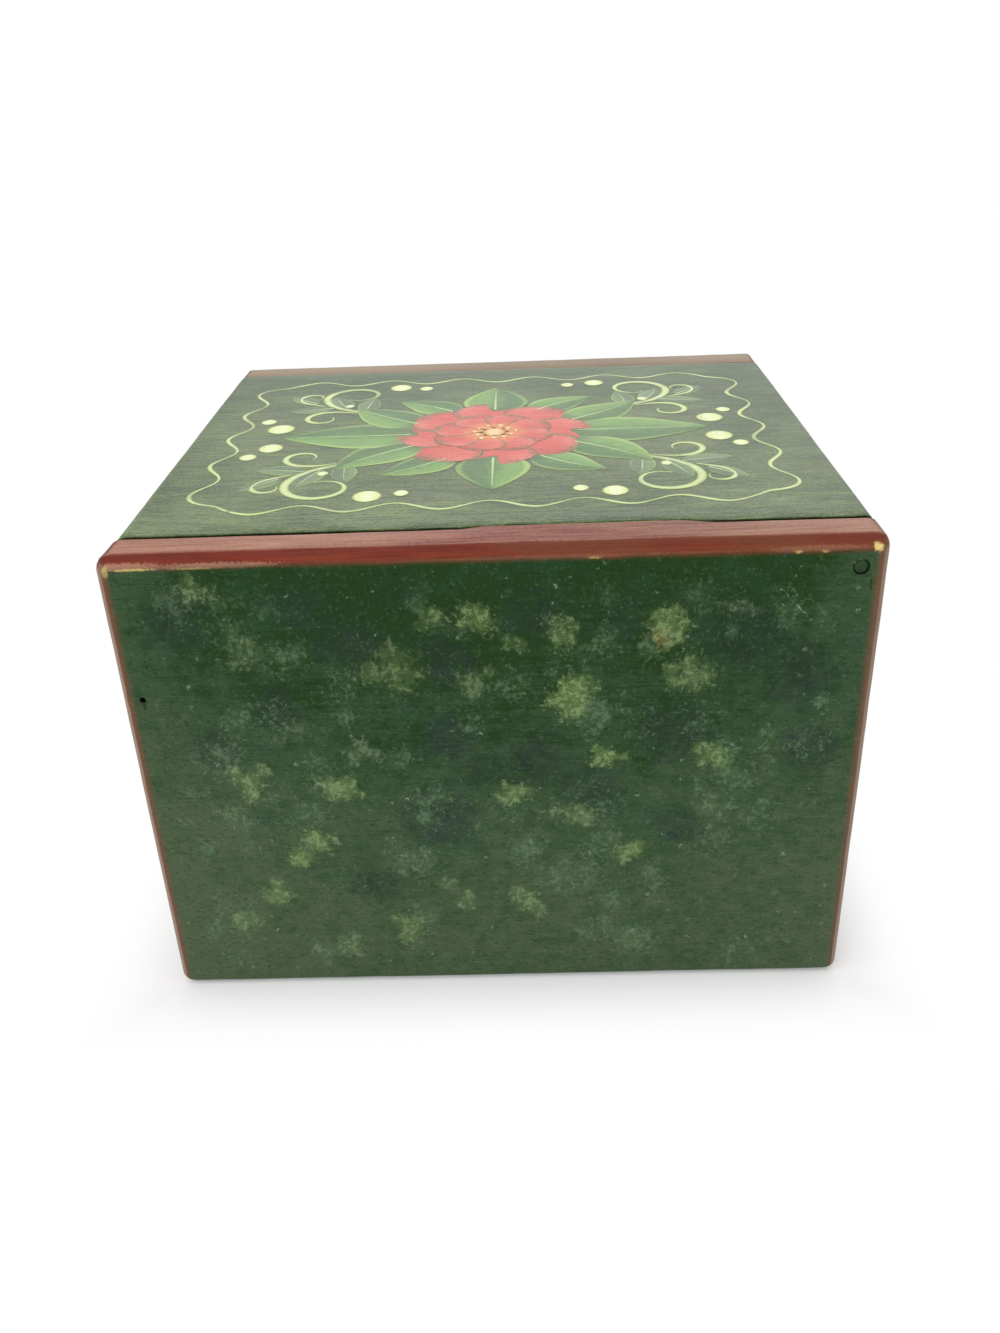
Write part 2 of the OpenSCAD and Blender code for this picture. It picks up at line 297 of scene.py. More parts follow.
class NodeBuilder:
    """Adds nodes to one node tree and links their sockets."""

    def __init__(self, tree):
        self.tree = tree

    def node(self, kind, sockets=None, **settings):
        """One node, with its inputs set to values or linked to other sockets."""
        made = self.tree.nodes.new(kind)
        for name, value in settings.items():
            setattr(made, name, value)
        for key, value in (sockets or {}).items():
            if isinstance(value, bpy.types.NodeSocket):
                self.tree.links.new(value, made.inputs[key])
            else:
                made.inputs[key].default_value = value
        return made

    def put(self, value, socket):
        """Links a result to a socket of another node."""
        self.tree.links.new(value, socket)

    def math(self, operation, first, second=0.0, clamp=False):
        """The result of one sum."""
        made = self.node("ShaderNodeMath", {0: first, 1: second}, operation=operation, use_clamp=clamp)
        return made.outputs[0]

    def vector(self, operation, first, second=(0.0, 0.0, 0.0)):
        """The result of one sum on vectors."""
        made = self.node("ShaderNodeVectorMath", {0: first, 1: second}, operation=operation)
        return made.outputs["Value" if operation in ("LENGTH", "DOT_PRODUCT") else "Vector"]

    def gathered(self, operation, values):
        """Several values brought together by one kind of sum."""
        total = values[0]
        for value in values[1:]:
            total = self.math(operation, total, value)
        return total

    def add(self, *values):
        """Values added up."""
        return self.gathered("ADD", values)

    def times(self, *values):
        """Values multiplied together."""
        return self.gathered("MULTIPLY", values)

    def most(self, *values):
        """The largest of some values."""
        return self.gathered("MAXIMUM", values)

    def size_of(self, value):
        """A value without its sign."""
        return self.math("ABSOLUTE", value)

    def clamped(self, value):
        """A value held between 0 and 1."""
        return self.math("ADD", value, 0.0, clamp=True)

    def smooth(self, value, low, high):
        """A mask that is 0 at low and 1 at high."""
        sockets = {"Value": value, "From Min": low, "From Max": high}
        return self.node("ShaderNodeMapRange", sockets, interpolation_type="SMOOTHSTEP").outputs[0]

    def between(self, value, low, high):
        """A 0 to 1 value spread over another range."""
        return self.node("ShaderNodeMapRange", {"Value": value, "To Min": low, "To Max": high}).outputs[0]

    def mix(self, amount, first, second):
        """The first colour, covered by the second by that amount."""
        colours = [
            value if isinstance(value, bpy.types.NodeSocket) else (value[0], value[1], value[2], 1.0)
            for value in (first, second)]
        sockets = {0: amount, 6: colours[0], 7: colours[1]}
        return self.node("ShaderNodeMix", sockets, data_type="RGBA").outputs[2]

    def noise(self, vector, size, detail=2.0, roughness=0.5):
        """A cloud pattern whose lumps are about that size."""
        sockets = {"Vector": vector, "Scale": 1.0 / size, "Detail": detail, "Roughness": roughness}
        return self.node("ShaderNodeTexNoise", sockets).outputs[0]

    def swing(self, vector, size, detail=2.0, roughness=0.5):
        """The same cloud pattern, about zero."""
        return self.add(self.noise(vector, size, detail, roughness), -0.5)

    def stretched(self, vector, scale):
        """A vector scaled along each axis."""
        return self.vector("MULTIPLY", vector, scale)

    def ragged(self, vector, size, reach):
        """A vector that wanders, so that what is drawn on it gets uneven outlines."""
        shift = self.node("ShaderNodeTexNoise", {"Vector": vector, "Scale": 1.0 / size}).outputs["Color"]
        wander = self.stretched(self.vector("SUBTRACT", shift, (0.5, 0.5, 0.5)), (reach, reach, reach))
        return self.vector("ADD", vector, wander)

    def turned(self, vector, angle):
        """A vector turned about Z, for boards whose grain runs another way than along Y."""
        return self.node("ShaderNodeMapping", {"Vector": vector, "Rotation": (0.0, 0.0, angle)}).outputs[0]

    def axes(self, vector):
        """A vector's three values."""
        return self.node("ShaderNodeSeparateXYZ", {0: vector}).outputs

    def place(self):
        """Place on the object, in millimetres."""
        coordinates = self.node("ShaderNodeTexCoord").outputs["Object"]
        return self.stretched(coordinates, (1 / MM, 1 / MM, 1 / MM))

    def attribute(self, name):
        """A value that was painted on the mesh."""
        return self.node("ShaderNodeAttribute", attribute_name=name).outputs["Fac"]

    def use(self, effect, **sockets):
        """A shared effect's outputs, by name. The effect is built on its first use."""
        name = effect.__name__.replace("_", " ").capitalize()
        group = bpy.data.node_groups.get(name) or effect(name)
        return self.node("ShaderNodeGroup", sockets, node_tree=group).outputs


def start_group(name, inputs, outputs):
    """A new effect with named sockets: its builder, its inputs and its output sockets."""
    tree = bpy.data.node_groups.new(name, "ShaderNodeTree")
    for socket, kind in inputs.items():
        tree.interface.new_socket(socket, in_out="INPUT", socket_type="NodeSocket" + kind)
    for socket, kind in outputs.items():
        tree.interface.new_socket(socket, in_out="OUTPUT", socket_type="NodeSocket" + kind)
    builder = NodeBuilder(tree)
    return builder, builder.node("NodeGroupInput").outputs, builder.node("NodeGroupOutput").inputs


def brush_streaks(name):
    """Streaks that a flat brush leaves along Y: a broad tone, fine lines here and there, and a height."""
    inputs = {"Vector": "Vector", "Run": "Float"}
    b, given, out = start_group(name, inputs, {"Tone": "Float", "Line": "Float", "Height": "Float"})
    squeeze = b.node("ShaderNodeCombineXYZ", {0: 1.0, 1: given["Run"], 2: 1.0}).outputs[0]
    along = b.stretched(given["Vector"], squeeze)
    broad = b.noise(along, 2.6, 3.0, 0.6)
    fine = b.noise(along, 0.55, 2.0, 0.6)
    where = b.noise(given["Vector"], 21.0, 2.0, 0.5)
    b.put(b.add(b.times(broad, 0.6), b.times(fine, 0.4)), out["Tone"])
    b.put(b.times(b.smooth(fine, 0.43, 0.31), b.smooth(where, 0.4, 0.62)), out["Line"])
    b.put(b.add(b.times(broad, 0.3), b.times(fine, 0.7)), out["Height"])
    return b.tree


def sponge_print(name):
    """What a sponge leaves, from a strength painted on the mesh: a ragged body, and crumbs over it."""
    b, given, out = start_group(
        name, {"Vector": "Vector", "Strength": "Float"}, {"Body": "Float", "Crumbs": "Float"})
    vector, strength = given["Vector"], given["Strength"]
    present = b.smooth(strength, 0.03, 0.2)
    lobes = b.swing(vector, 4.0, 4.0, 0.65)
    grain = b.swing(vector, 1.4, 4.0, 0.6)
    body = b.smooth(b.add(strength, b.times(lobes, 1.3), b.times(grain, 0.9)), 0.26, 0.84)
    b.put(b.times(body, b.add(grain, 1.0), present), out["Body"])
    crumbs = b.noise(b.ragged(vector, 1.6, 1.4), 1.15, 4.0, 0.62)
    crumbs = b.smooth(b.add(crumbs, b.times(strength, 0.16), b.times(lobes, 0.35)), 0.6, 0.68)
    b.put(b.times(crumbs, present), out["Crumbs"])
    return b.tree


def paint_specks(name):
    """Small scattered flecks with uneven outlines, with a share of the cells left empty."""
    inputs = {"Vector": "Vector", "Spacing": "Float", "Share": "Float"}
    b, given, out = start_group(name, inputs, {"Mask": "Float"})
    scale = b.math("DIVIDE", 1.0, given["Spacing"])
    uneven = b.ragged(given["Vector"], 0.8, 2.1)
    cells = b.node("ShaderNodeTexVoronoi", {"Vector": uneven, "Scale": scale, "Randomness": 1.0})
    pick = b.node("ShaderNodeSeparateColor", {0: cells.outputs["Color"]}).outputs
    size = b.between(pick[1], 0.05, 0.19)
    spot = b.smooth(b.math("SUBTRACT", size, cells.outputs["Distance"]), 0.0, 0.12)
    kept = b.math("LESS_THAN", pick[0], given["Share"])
    b.put(b.times(spot, kept, b.between(pick[2], 0.35, 1.0)), out["Mask"])
    return b.tree


def worn_edges(name):
    """Where handling has rubbed paint off: close to an edge, and broken up."""
    inputs = {"Vector": "Vector", "Edge": "Float", "Amount": "Float"}
    b, given, out = start_group(name, inputs, {"Mask": "Float"})
    broken = b.noise(given["Vector"], 2.4, 4.0, 0.72)
    patches = b.noise(given["Vector"], 17.0, 2.0, 0.5)
    level = b.add(b.times(given["Edge"], given["Amount"]), b.times(broken, 0.9), b.times(patches, 0.8), -1.62)
    b.put(b.smooth(level, 0.0, 0.09), out["Mask"])
    return b.tree


def wood_grain(name):
    """Sawn softwood with its grain along Y: a colour and a height."""
    inputs = {"Vector": "Vector", "Light": "Color", "Dark": "Color"}
    b, given, out = start_group(name, inputs, {"Colour": "Color", "Height": "Float"})
    figure = b.noise(b.stretched(given["Vector"], (1.0, 0.08, 1.0)), 30.0, 2.0, 0.35)
    rings = b.add(b.times(b.math("SINE", b.times(figure, 90.0)), 0.5), 0.5)
    fibres = b.noise(b.stretched(given["Vector"], (1.0, 0.02, 1.0)), 0.45, 3.0, 0.6)
    stain = b.noise(given["Vector"], 34.0, 2.0, 0.5)
    shade = b.add(b.times(b.smooth(rings, 0.3, 1.0), 0.42), b.times(fibres, 0.5), b.times(stain, 0.25), -0.22)
    b.put(b.mix(b.clamped(shade), given["Light"], given["Dark"]), out["Colour"])
    b.put(b.add(b.times(fibres, 0.8), b.times(rings, -0.3)), out["Height"])
    return b.tree


def dry_brush(name):
    """Streaks along a single brush stroke, and where the paint ran thin."""
    inputs = {"Vector": "Vector", "Along": "Float", "Across": "Float", "Tone": "Float"}
    b, given, out = start_group(name, inputs, {"Streak": "Float", "Thin": "Float"})
    hair = b.node("ShaderNodeCombineXYZ", {
        0: b.times(given["Along"], 1.6), 1: b.times(given["Across"], 5.5), 2: b.times(given["Tone"], 37.0)})
    streak = b.noise(hair.outputs[0], 1.0, 3.0, 0.65)
    grain = b.noise(given["Vector"], 0.6, 2.0, 0.6)
    cloud = b.noise(given["Vector"], 7.0, 2.0, 0.5)
    b.put(b.add(b.times(streak, 0.75), b.times(grain, 0.25)), out["Streak"])
    thin = b.add(b.times(grain, 0.6), b.times(streak, 0.5), b.times(cloud, 0.5))
    b.put(b.smooth(thin, 0.8, 1.04), out["Thin"])
    return b.tree


def start_material(name):
    """A new material with an empty tree: the material, its builder and its Principled shader."""
    material = bpy.data.materials.new(name)
    material.use_nodes = True
    material.node_tree.nodes.clear()
    b = NodeBuilder(material.node_tree)
    shader = b.node("ShaderNodeBsdfPrincipled")
    b.node("ShaderNodeOutputMaterial", {"Surface": shader.outputs[0]})
    return material, b, shader


def join(b, shader, base, roughness, height, depth):
    """Links a finish to its shader. Depth is the bump's height in millimetres."""
    bump = b.node("ShaderNodeBump", {"Height": height, "Distance": depth * MM, "Strength": 1.0})
    b.put(base, shader.inputs["Base Color"])
    b.put(roughness, shader.inputs["Roughness"])
    b.put(bump.outputs[0], shader.inputs["Normal"])


def pores(b, place, lines, coat, tint):
    """Dark pores and fine dark brush lines over a coat."""
    grain = b.noise(b.stretched(place, (1.0, 0.4, 1.0)), 0.6, 3.0, 0.7)
    dark = b.most(b.times(b.smooth(grain, 0.5, 0.7), 0.5), lines)
    return b.mix(dark, coat, tint)


def sponged_ground(b, place, streaks, bare, paint):
    """The green ground: deep where the coat is full, dull where the coat is thin and where sheen is painted,
    with dark stippled clouds.
    """
    drift = b.times(b.swing(place, 24.0, 3.0, 0.55), 0.5)
    blotch = b.times(b.swing(place, 7.0, 4.0, 0.65), b.between(bare, 0.2, 0.9))
    mottle = b.times(b.swing(b.stretched(place, (1.0, 0.7, 1.0)), 2.6, 4.0, 0.7), b.between(bare, 0.5, 1.7))
    brushed = b.times(b.add(streaks["Tone"], -0.5), b.between(bare, 0.75, 0.4))
    thin = b.clamped(b.add(bare, drift, blotch, mottle, brushed))
    coat = b.mix(b.smooth(thin, 0.0, 0.4), paint.green, paint.mid_green)
    coat = b.mix(b.smooth(thin, 0.3, 0.95), coat, paint.dull_green)
    teal = b.smooth(b.noise(place, 9.0, 3.0, 0.6), 0.5, 0.68)
    coat = b.mix(b.times(teal, 0.24), coat, paint.teal_green)
    coat = pores(b, place, b.times(streaks["Line"], b.between(bare, 0.45, 0.12)), coat, paint.pore_green)
    cloud = b.times(b.attribute("cloud"), b.between(b.smooth(bare, -0.06, 0.1), 0.4, 1.0))
    stipple = b.smooth(b.add(b.noise(place, 1.3, 4.0, 0.7), b.times(cloud, 0.3)), 0.5, 0.82)
    soft = b.times(b.smooth(cloud, 0.1, 0.9), b.smooth(b.noise(place, 5.0, 3.0, 0.6), 0.36, 0.62))
    amount = b.add(b.times(stipple, b.smooth(cloud, 0.04, 0.5), 0.48), b.times(soft, 0.26))
    shade = b.mix(b.smooth(b.noise(place, 14.0), 0.5, 0.62), paint.blue_green, paint.slate)
    grit = b.smooth(b.noise(place, 0.9, 4.0, 0.7), 0.54, 0.7)
    return b.mix(b.times(grit, 0.22), b.mix(amount, coat, shade), paint.dab_grey)


def sponge_dabs(b, place, coat, paint):
    """Sponge prints over the ground: a grey haze, the dabs themselves and loose flecks. Also their height."""
    haze = b.use(sponge_print, Vector=b.stretched(place, (1.15, 1.15, 1.15)), Strength=b.attribute("haze"))
    lower = b.between(b.smooth(b.axes(place)[2], 108.0, 84.0), 0.5, 1.0)
    hazy = b.times(b.add(b.times(haze["Body"], 0.19), b.times(haze["Crumbs"], 0.32)), lower)
    coat = b.mix(hazy, coat, paint.dab_grey)
    dabs = b.use(sponge_print, Vector=place, Strength=b.attribute("dab"))
    force = b.attribute("dab_force")
    grey = b.attribute("dab_grey")
    body = b.mix(grey, paint.dab_green, paint.dab_grey)
    body = b.mix(b.times(b.attribute("dab_warm"), 0.85), body, paint.dab_warm)
    coat = b.mix(b.clamped(b.times(dabs["Body"], b.between(force, 0.06, 0.36))), coat, body)
    pale = b.mix(grey, paint.dab_pale, paint.fleck)
    coat = b.mix(b.times(dabs["Crumbs"], b.between(force, 0.1, 0.32)), coat, pale)
    bunched = b.smooth(b.noise(place, 11.0, 2.0, 0.5), 0.36, 0.6)
    specks = b.use(paint_specks, Vector=place, Spacing=3.4, Share=b.between(bunched, 0.04, 0.6))["Mask"]
    dust = b.use(paint_specks, Vector=place, Spacing=1.6, Share=b.between(bunched, 0.02, 0.3))["Mask"]
    coat = b.mix(b.most(b.times(specks, 0.62), b.times(dust, 0.5)), coat, paint.fleck)
    return coat, b.add(dabs["Crumbs"], b.times(dabs["Body"], 0.5), b.times(specks, 0.6))


def uneven_spots(b, place, spots):
    """Where the edge paint is chipped or rubbed, from a table of set places."""
    uneven = b.times(b.swing(place, 0.6, 4.0, 0.8), 2.4)
    masks = []
    for middle, reach, amount in spots:
        offset = b.stretched(b.vector("SUBTRACT", place, middle), tuple(1.0 / value for value in reach))
        masks.append(b.times(b.smooth(b.add(b.vector("LENGTH", offset), uneven), 1.1, 0.5), amount))
    return b.most(*masks)


def line_gap(b, place, start, end):
    """Distance in mm from a line between two points on the right end's face, given from the front and up."""
    face = cad_box[1].x / MM
    front = cad_box[0].y / MM
    first = Vector((face, front + start[0], start[1]))
    run = Vector((face, front + end[0], end[1])) - first
    offset = b.vector("SUBTRACT", place, first)
    share = b.clamped(b.times(b.vector("DOT_PRODUCT", offset, run), 1.0 / run.length_squared))
    nearest = b.node("ShaderNodeVectorMath", {0: run, "Scale": share}, operation="SCALE").outputs[0]
    return b.vector("LENGTH", b.vector("SUBTRACT", offset, nearest))


def brush_run(b, place, attribute, other):
    """Place with Y and another axis swapped where an attribute says so: brush marks then follow an edge."""
    axes = list(b.axes(place))
    axes[1], axes[other] = axes[other], axes[1]
    swapped = b.node("ShaderNodeCombineXYZ", dict(enumerate(axes))).outputs[0]
    sockets = {0: b.attribute(attribute), 4: place, 5: swapped}
    return b.node("ShaderNodeMix", sockets, data_type="VECTOR").outputs[1]


def red_edges(b, place, run, streaks, coat, paint):
    """Red paint over the top and the upright edges of an end board, feathered into the coat below."""
    axes = b.axes(place)
    wobble = b.swing(b.stretched(run, (1.0, 0.35, 1.0)), 2.2, 3.0, 0.65)
    top = b.add(axes[2], b.times(axes[1], 0.0025), wobble, -0.5)
    back = b.add(axes[1], b.times(axes[2], 0.004), b.times(wobble, 0.8), 32.4)
    front = b.add(b.times(axes[1], -1.0), b.times(axes[2], 0.002), b.times(wobble, 0.8), 32.5)
    level = b.most(top, back, front)
    patches = b.noise(b.stretched(run, (1.0, 0.25, 1.0)), 6.0, 3.0, 0.6)
    speckle = b.swing(place, 1.0, 3.0, 0.7)
    faded = b.attribute("faded")
    hairs = streaks["Height"]
    to_back = b.smooth(axes[1], -90.0, 90.0)
    thin = b.smooth(b.add(b.times(hairs, 0.5), b.times(patches, 0.9), b.times(to_back, 0.3)), 0.68, 1.1)
    full = b.times(b.smooth(b.add(patches, b.times(hairs, 0.3)), 0.54, 0.74), b.smooth(to_back, 0.9, 0.25))
    trim = b.mix(b.times(full, 0.36), paint.edge_red, paint.edge_bright)
    trim = b.mix(b.times(thin, 0.75), trim, paint.edge_brown)
    trim = b.mix(b.times(b.smooth(speckle, 0.04, 0.2), 0.4), trim, paint.edge_brown)
    trim = b.mix(b.times(b.smooth(speckle, -0.04, -0.2), 0.4), trim, paint.edge_dark)
    lower = b.smooth(b.add(level, b.times(patches, 1.2), b.times(speckle, 1.6)), 112.6, 110.9)
    trim = b.mix(b.times(lower, 0.3), trim, paint.edge_brown)
    upper = b.smooth(b.add(level, b.times(patches, 0.8)), 111.6, 112.2)
    deep = b.times(upper, b.between(faded, 0.36, 0.0), b.between(to_back, 1.1, 0.6))
    trim = b.mix(deep, trim, paint.edge_dark)
    rim = b.smooth(b.add(level, b.times(speckle, 0.6)), 111.0, 110.2)
    trim = b.mix(b.times(rim, 0.5), trim, paint.edge_dark)
    trim = b.mix(b.times(b.smooth(hairs, 0.48, 0.36), 0.35), trim, paint.edge_dark)
    trim = b.mix(b.times(uneven_spots(b, place, RUBBED_EDGES), 0.9), trim, paint.edge_faded)
    beside = b.add(b.most(back, front), b.times(top, -1.0))
    side = b.smooth(beside, -0.5, 0.8)
    dull = b.most(b.attribute("dull"), b.times(side, 0.3))
    trim = b.mix(b.times(dull, b.between(patches, 0.6, 1.1)), trim, paint.edge_dull)
    # Painted sheen: where it is painted on the mesh, the trim turns pale pink in streaks and patches, less
    # where the board swells
    swollen = b.times(b.smooth(axes[1], -25.0, 5.0), b.smooth(axes[1], 64.0, 36.0))
    fade = b.add(
        b.times(b.smooth(hairs, 0.34, 0.62), 0.4), b.times(patches, 0.7), b.times(speckle, 0.7),
        b.times(swollen, -0.45), 0.08)
    trim = b.mix(b.clamped(b.times(faded, fade)), trim, paint.edge_faded)
    # Dust, which also stands for painted sheen on the left board's top edge
    trim = b.mix(b.attribute("dust"), trim, paint.edge_dust)
    feathered = b.smooth(level, b.between(side, 109.6, 109.2), b.between(side, 111.1, 111.5))
    coat = b.mix(feathered, coat, trim)
    return b.mix(uneven_spots(b, place, EDGE_CHIPS), coat, paint.primer)


def sponged_paint(name, paint, with_red_edges, gloss):
    """Green paint with sponge dabs, and on the end boards chipped red edges. Gloss is the specular level."""
    material, b, shader = start_material(name)
    shader.inputs["Specular IOR Level"].default_value = gloss
    place = b.place()
    axes = b.axes(place)
    along = axes[1] if with_red_edges else axes[0]
    run = brush_run(b, place, "upright", 2) if with_red_edges else b.turned(place, GRAIN_ALONG_X)
    streaks = b.use(brush_streaks, Vector=run, Run=0.035)
    # Painted sheen and thinner paint: the coat turns duller and greyer towards the bottom and near the board's
    # upright edges
    low = b.times(b.smooth(axes[2], 116.0, 10.0), 0.74)
    front = b.times(b.smooth(along, -24.0, -82.0), b.between(low, 0.16, 0.46))
    back = b.times(b.smooth(along, 45.0, 85.0), 0.2)
    margin = b.times(b.smooth(b.size_of(along), 60.0, 76.0), b.between(b.smooth(low, 0.0, 0.45), 0.2, 0.0))
    coat = sponged_ground(b, place, streaks, b.add(low, front, back, margin, -0.06), paint)
    coat, print_height = sponge_dabs(b, place, coat, paint)
    wear = b.use(worn_edges, Vector=place, Edge=b.attribute("edge"), Amount=0.4)["Mask"]
    if with_red_edges:
        for start, end, width in SCRATCHES:
            scratch = b.smooth(line_gap(b, b.ragged(place, 1.5, 1.2), start, end), width, width * 0.4)
            broken = b.smooth(b.noise(place, 1.1, 2.0, 0.6), 0.42, 0.56)
            coat = b.mix(b.times(scratch, broken, 0.6), coat, paint.fleck)
        for start, end, width in PAINT_RUNS:
            drip = b.smooth(line_gap(b, b.ragged(place, 1.2, 0.8), start, end), width, width * 0.3)
            coat = b.mix(b.times(drip, 0.6), coat, paint.pore_green)
        coat = red_edges(b, place, run, streaks, coat, paint)
    coat = b.mix(b.times(wear, 0.6), coat, paint.primer)
    # Painted shade in the holes and on the pins' ends, as painted on the mesh
    coat = b.mix(b.attribute("grime"), coat, paint.grime)
    rough = b.between(streaks["Tone"], 0.36, 0.6)
    height = b.add(streaks["Height"], b.times(print_height, 0.7), b.times(wear, -1.2))
    join(b, shader, coat, rough, height, 0.14)
    return material


def lid_coat(b, place, paint):
    """The lid's brushed coat: its colour, roughness and height."""
    run = brush_run(b, place, "cross", 0)
    streaks = b.use(brush_streaks, Vector=run, Run=0.03)
    drift = b.swing(place, 26.0, 3.0, 0.55)
    mottle = b.swing(b.stretched(run, (1.0, 0.09, 1.0)), 0.8, 4.0, 0.72)
    blotch = b.swing(b.stretched(run, (1.0, 0.4, 1.0)), 6.0, 3.0, 0.6)
    axes = b.axes(place)
    # Painted shade: the coat is made darker towards the lid's left end and a little towards its back, where the
    # sheen on the lid falls off
    left_end_shade = b.smooth(axes[0], 10.0, -70.0)
    to_back = b.smooth(axes[1], 0.0, 75.0)
    brushed = b.add(streaks["Tone"], -0.5)
    grain = b.noise(place, 0.7, 3.0, 0.7)
    thin = b.clamped(b.add(
        drift, brushed, b.times(mottle, 2.4), b.times(blotch, 0.8), b.times(grain, 1.8),
        b.times(left_end_shade, -0.3), b.times(to_back, -0.08), -0.47))
    coat = b.mix(thin, paint.lid_green, paint.lid_dull)
    mauve = b.smooth(b.noise(b.stretched(run, (1.0, 0.16, 1.0)), 3.4, 2.0, 0.55), 0.5, 0.72)
    coat = b.mix(b.times(mauve, 0.32), coat, paint.lid_grey)
    coat = pores(b, place, b.times(streaks["Line"], 0.5), coat, paint.pore_green)
    level = b.add(b.times(streaks["Tone"], 0.5), b.times(grain, 0.3), b.times(mottle, 0.7), 0.1)
    height = b.add(streaks["Height"], b.times(grain, 0.5))
    return coat, b.between(level, 0.2, 0.74), height


def lid_paint(name, paint, gloss):
    """Satin green paint brushed along the lid, rubbed at its edges. Gloss is the specular level."""
    material, b, shader = start_material(name)
    shader.inputs["Specular IOR Level"].default_value = gloss
    place = b.place()
    coat, rough, height = lid_coat(b, place, paint)
    wear = b.use(worn_edges, Vector=place, Edge=b.attribute("edge"), Amount=0.62)["Mask"]
    coat = b.mix(b.times(wear, 0.6), coat, paint.dab_grey)
    # Painted shade on the lid's ends, for the dark gap beside the end boards
    coat = b.mix(b.attribute("grime"), coat, paint.grime)
    join(b, shader, coat, rough, b.add(height, b.times(wear, -0.8)), 0.3)
    return material


def bare_wood(name, paint, turn):
    """Sanded bare wood. Turn is the angle that brings its grain from Y to the board's length."""
    material, b, shader = start_material(name)
    turned = b.turned(b.place(), turn)
    light, dark = [(*tone, 1.0) for tone in (paint.wood_light, paint.wood_dark)]
    grain = b.use(wood_grain, Vector=turned, Light=light, Dark=dark)
    join(b, shader, grain["Colour"], b.between(grain["Height"], 0.55, 0.75), grain["Height"], 0.1)
    return material


def wire_steel(name, paint):
    """Drawn steel with brown rust spots."""
    material, b, shader = start_material(name)
    place = b.place()
    rust = b.smooth(b.noise(place, 0.9, 4.0, 0.7), 0.45, 0.62)
    drawn = b.noise(b.stretched(place, (0.05, 1.0, 1.0)), 0.3, 2.0, 0.5)
    base = b.mix(rust, b.mix(drawn, paint.steel_dark, paint.steel_light), paint.rust)
    b.put(b.between(rust, 1.0, 0.1), shader.inputs["Metallic"])
    join(b, shader, base, b.between(rust, 0.35, 0.8), b.add(rust, b.times(drawn, 0.3)), 0.05)
    return material


def start_stroke(name):
    """A material for brush strokes: also the place, the shares along and across a stroke, and brush marks."""
    material, b, shader = start_material(name)
    place = b.place()
    along, across = b.attribute("along"), b.attribute("across")
    brush = b.use(dry_brush, Vector=place, Along=along, Across=across, Tone=b.attribute("tone"))
    return material, b, shader, place, along, across, brush


def lay_stroke(b, shader, place, paint, cover, base, brush):
    """Joins a stroke's colour to its shader. The lid's coat shows where the stroke covers less."""
    coat, rough, height = lid_coat(b, place, paint)
    height = b.add(height, b.times(brush["Streak"], cover, 0.5))
    join(b, shader, b.mix(cover, coat, base), b.add(b.times(rough, 0.8), 0.08), height, 0.25)


def petal_paint(name, paint, design):
    """Petal strokes: glowing at the middle, pale on one side of the tip, with soft stippled outlines."""
    material, b, shader, place, along, across, brush = start_stroke(name)
    uneven = b.add(brush["Streak"], -0.5)
    stipple = b.swing(place, 0.8, 2.0, 0.6)
    blush = b.swing(place, 3.0, 3.0, 0.65)
    outwards = b.smooth(b.add(along, b.times(uneven, 0.5)), 0.05, 0.55)
    base = b.mix(outwards, design.petal_glow, design.petal_red)
    lit = b.smooth(b.add(across, b.times(uneven, 0.9), b.times(blush, 1.2)), -0.1, 0.9)
    base = b.mix(b.times(lit, b.smooth(along, 0.3, 0.85), 0.75), base, design.petal_pale)
    shaded = b.add(across, b.times(uneven, 0.8), b.times(stipple, 0.9), b.times(blush, 0.8))
    base = b.mix(b.times(b.smooth(shaded, -0.2, -1.0), 0.6), base, design.petal_deep)
    base = b.mix(b.times(b.smooth(stipple, 0.02, 0.16), 0.3), base, design.petal_pale)
    outline = b.add(b.most(b.size_of(across), along), b.times(uneven, 0.35), b.times(stipple, 0.6))
    lay_stroke(b, shader, place, paint, b.smooth(outline, 1.06, 0.76), base, brush)
    return material


def leaf_paint(name, paint, dark, light, edge, most):
    """Two-toned leaf strokes, pale along one rim and thin towards the flower. Most is their fullest cover."""
    material, b, shader, place, along, across, brush = start_stroke(name)
    uneven = b.add(brush["Streak"], -0.5)
    blush = b.swing(place, 2.6, 3.0, 0.65)
    base = b.mix(b.smooth(b.add(across, b.times(uneven, 1.1), b.times(blush, 1.2)), -0.5, 0.6), dark, light)
    rim = b.smooth(b.add(b.size_of(across), b.times(uneven, 0.3)), 0.76, 0.94)
    base = b.mix(b.clamped(b.times(rim, b.between(across, 0.5, 0.9))), base, edge)
    outline = b.add(b.size_of(across), b.times(uneven, 0.25))
    cover = b.times(b.smooth(outline, 1.08, 0.92), b.between(brush["Thin"], most, most * 0.5))
    cover = b.most(cover, b.times(rim, b.smooth(outline, 1.08, 0.92), most))
    lay_stroke(b, shader, place, paint, b.times(cover, b.smooth(along, 0.0, 0.3)), base, brush)
    return material


def line_paint(name, paint, tint, least):
    """Strokes with a pale core. They thin out here and there, down to the least share of cover."""
    material, b, shader, place, along, across, brush = start_stroke(name)
    pale = tuple(0.6 * value + 0.4 for value in tint)
    core = b.smooth(b.add(b.size_of(across), b.times(b.add(brush["Streak"], -0.5), 0.6)), 0.75, 0.25)
    base = b.mix(b.times(core, 0.7), tint, pale)
    fade = b.between(b.smooth(b.noise(place, 13.0, 2.0, 0.5), 0.36, 0.52), least, 1.0)
    cover = b.times(b.smooth(b.size_of(across), 1.05, 0.75), fade, b.between(brush["Thin"], 1.0, 0.7))
    lay_stroke(b, shader, place, paint, cover, base, brush)
    return material


def box_mesh(low, high):
    """A bmesh with one box between two corners."""
    bm = bmesh.new()
    bmesh.ops.create_cube(bm, size=1.0)
    bmesh.ops.scale(bm, vec=high - low, verts=bm.verts)
    bmesh.ops.translate(bm, vec=(low + high) / 2, verts=bm.verts)
    return bm


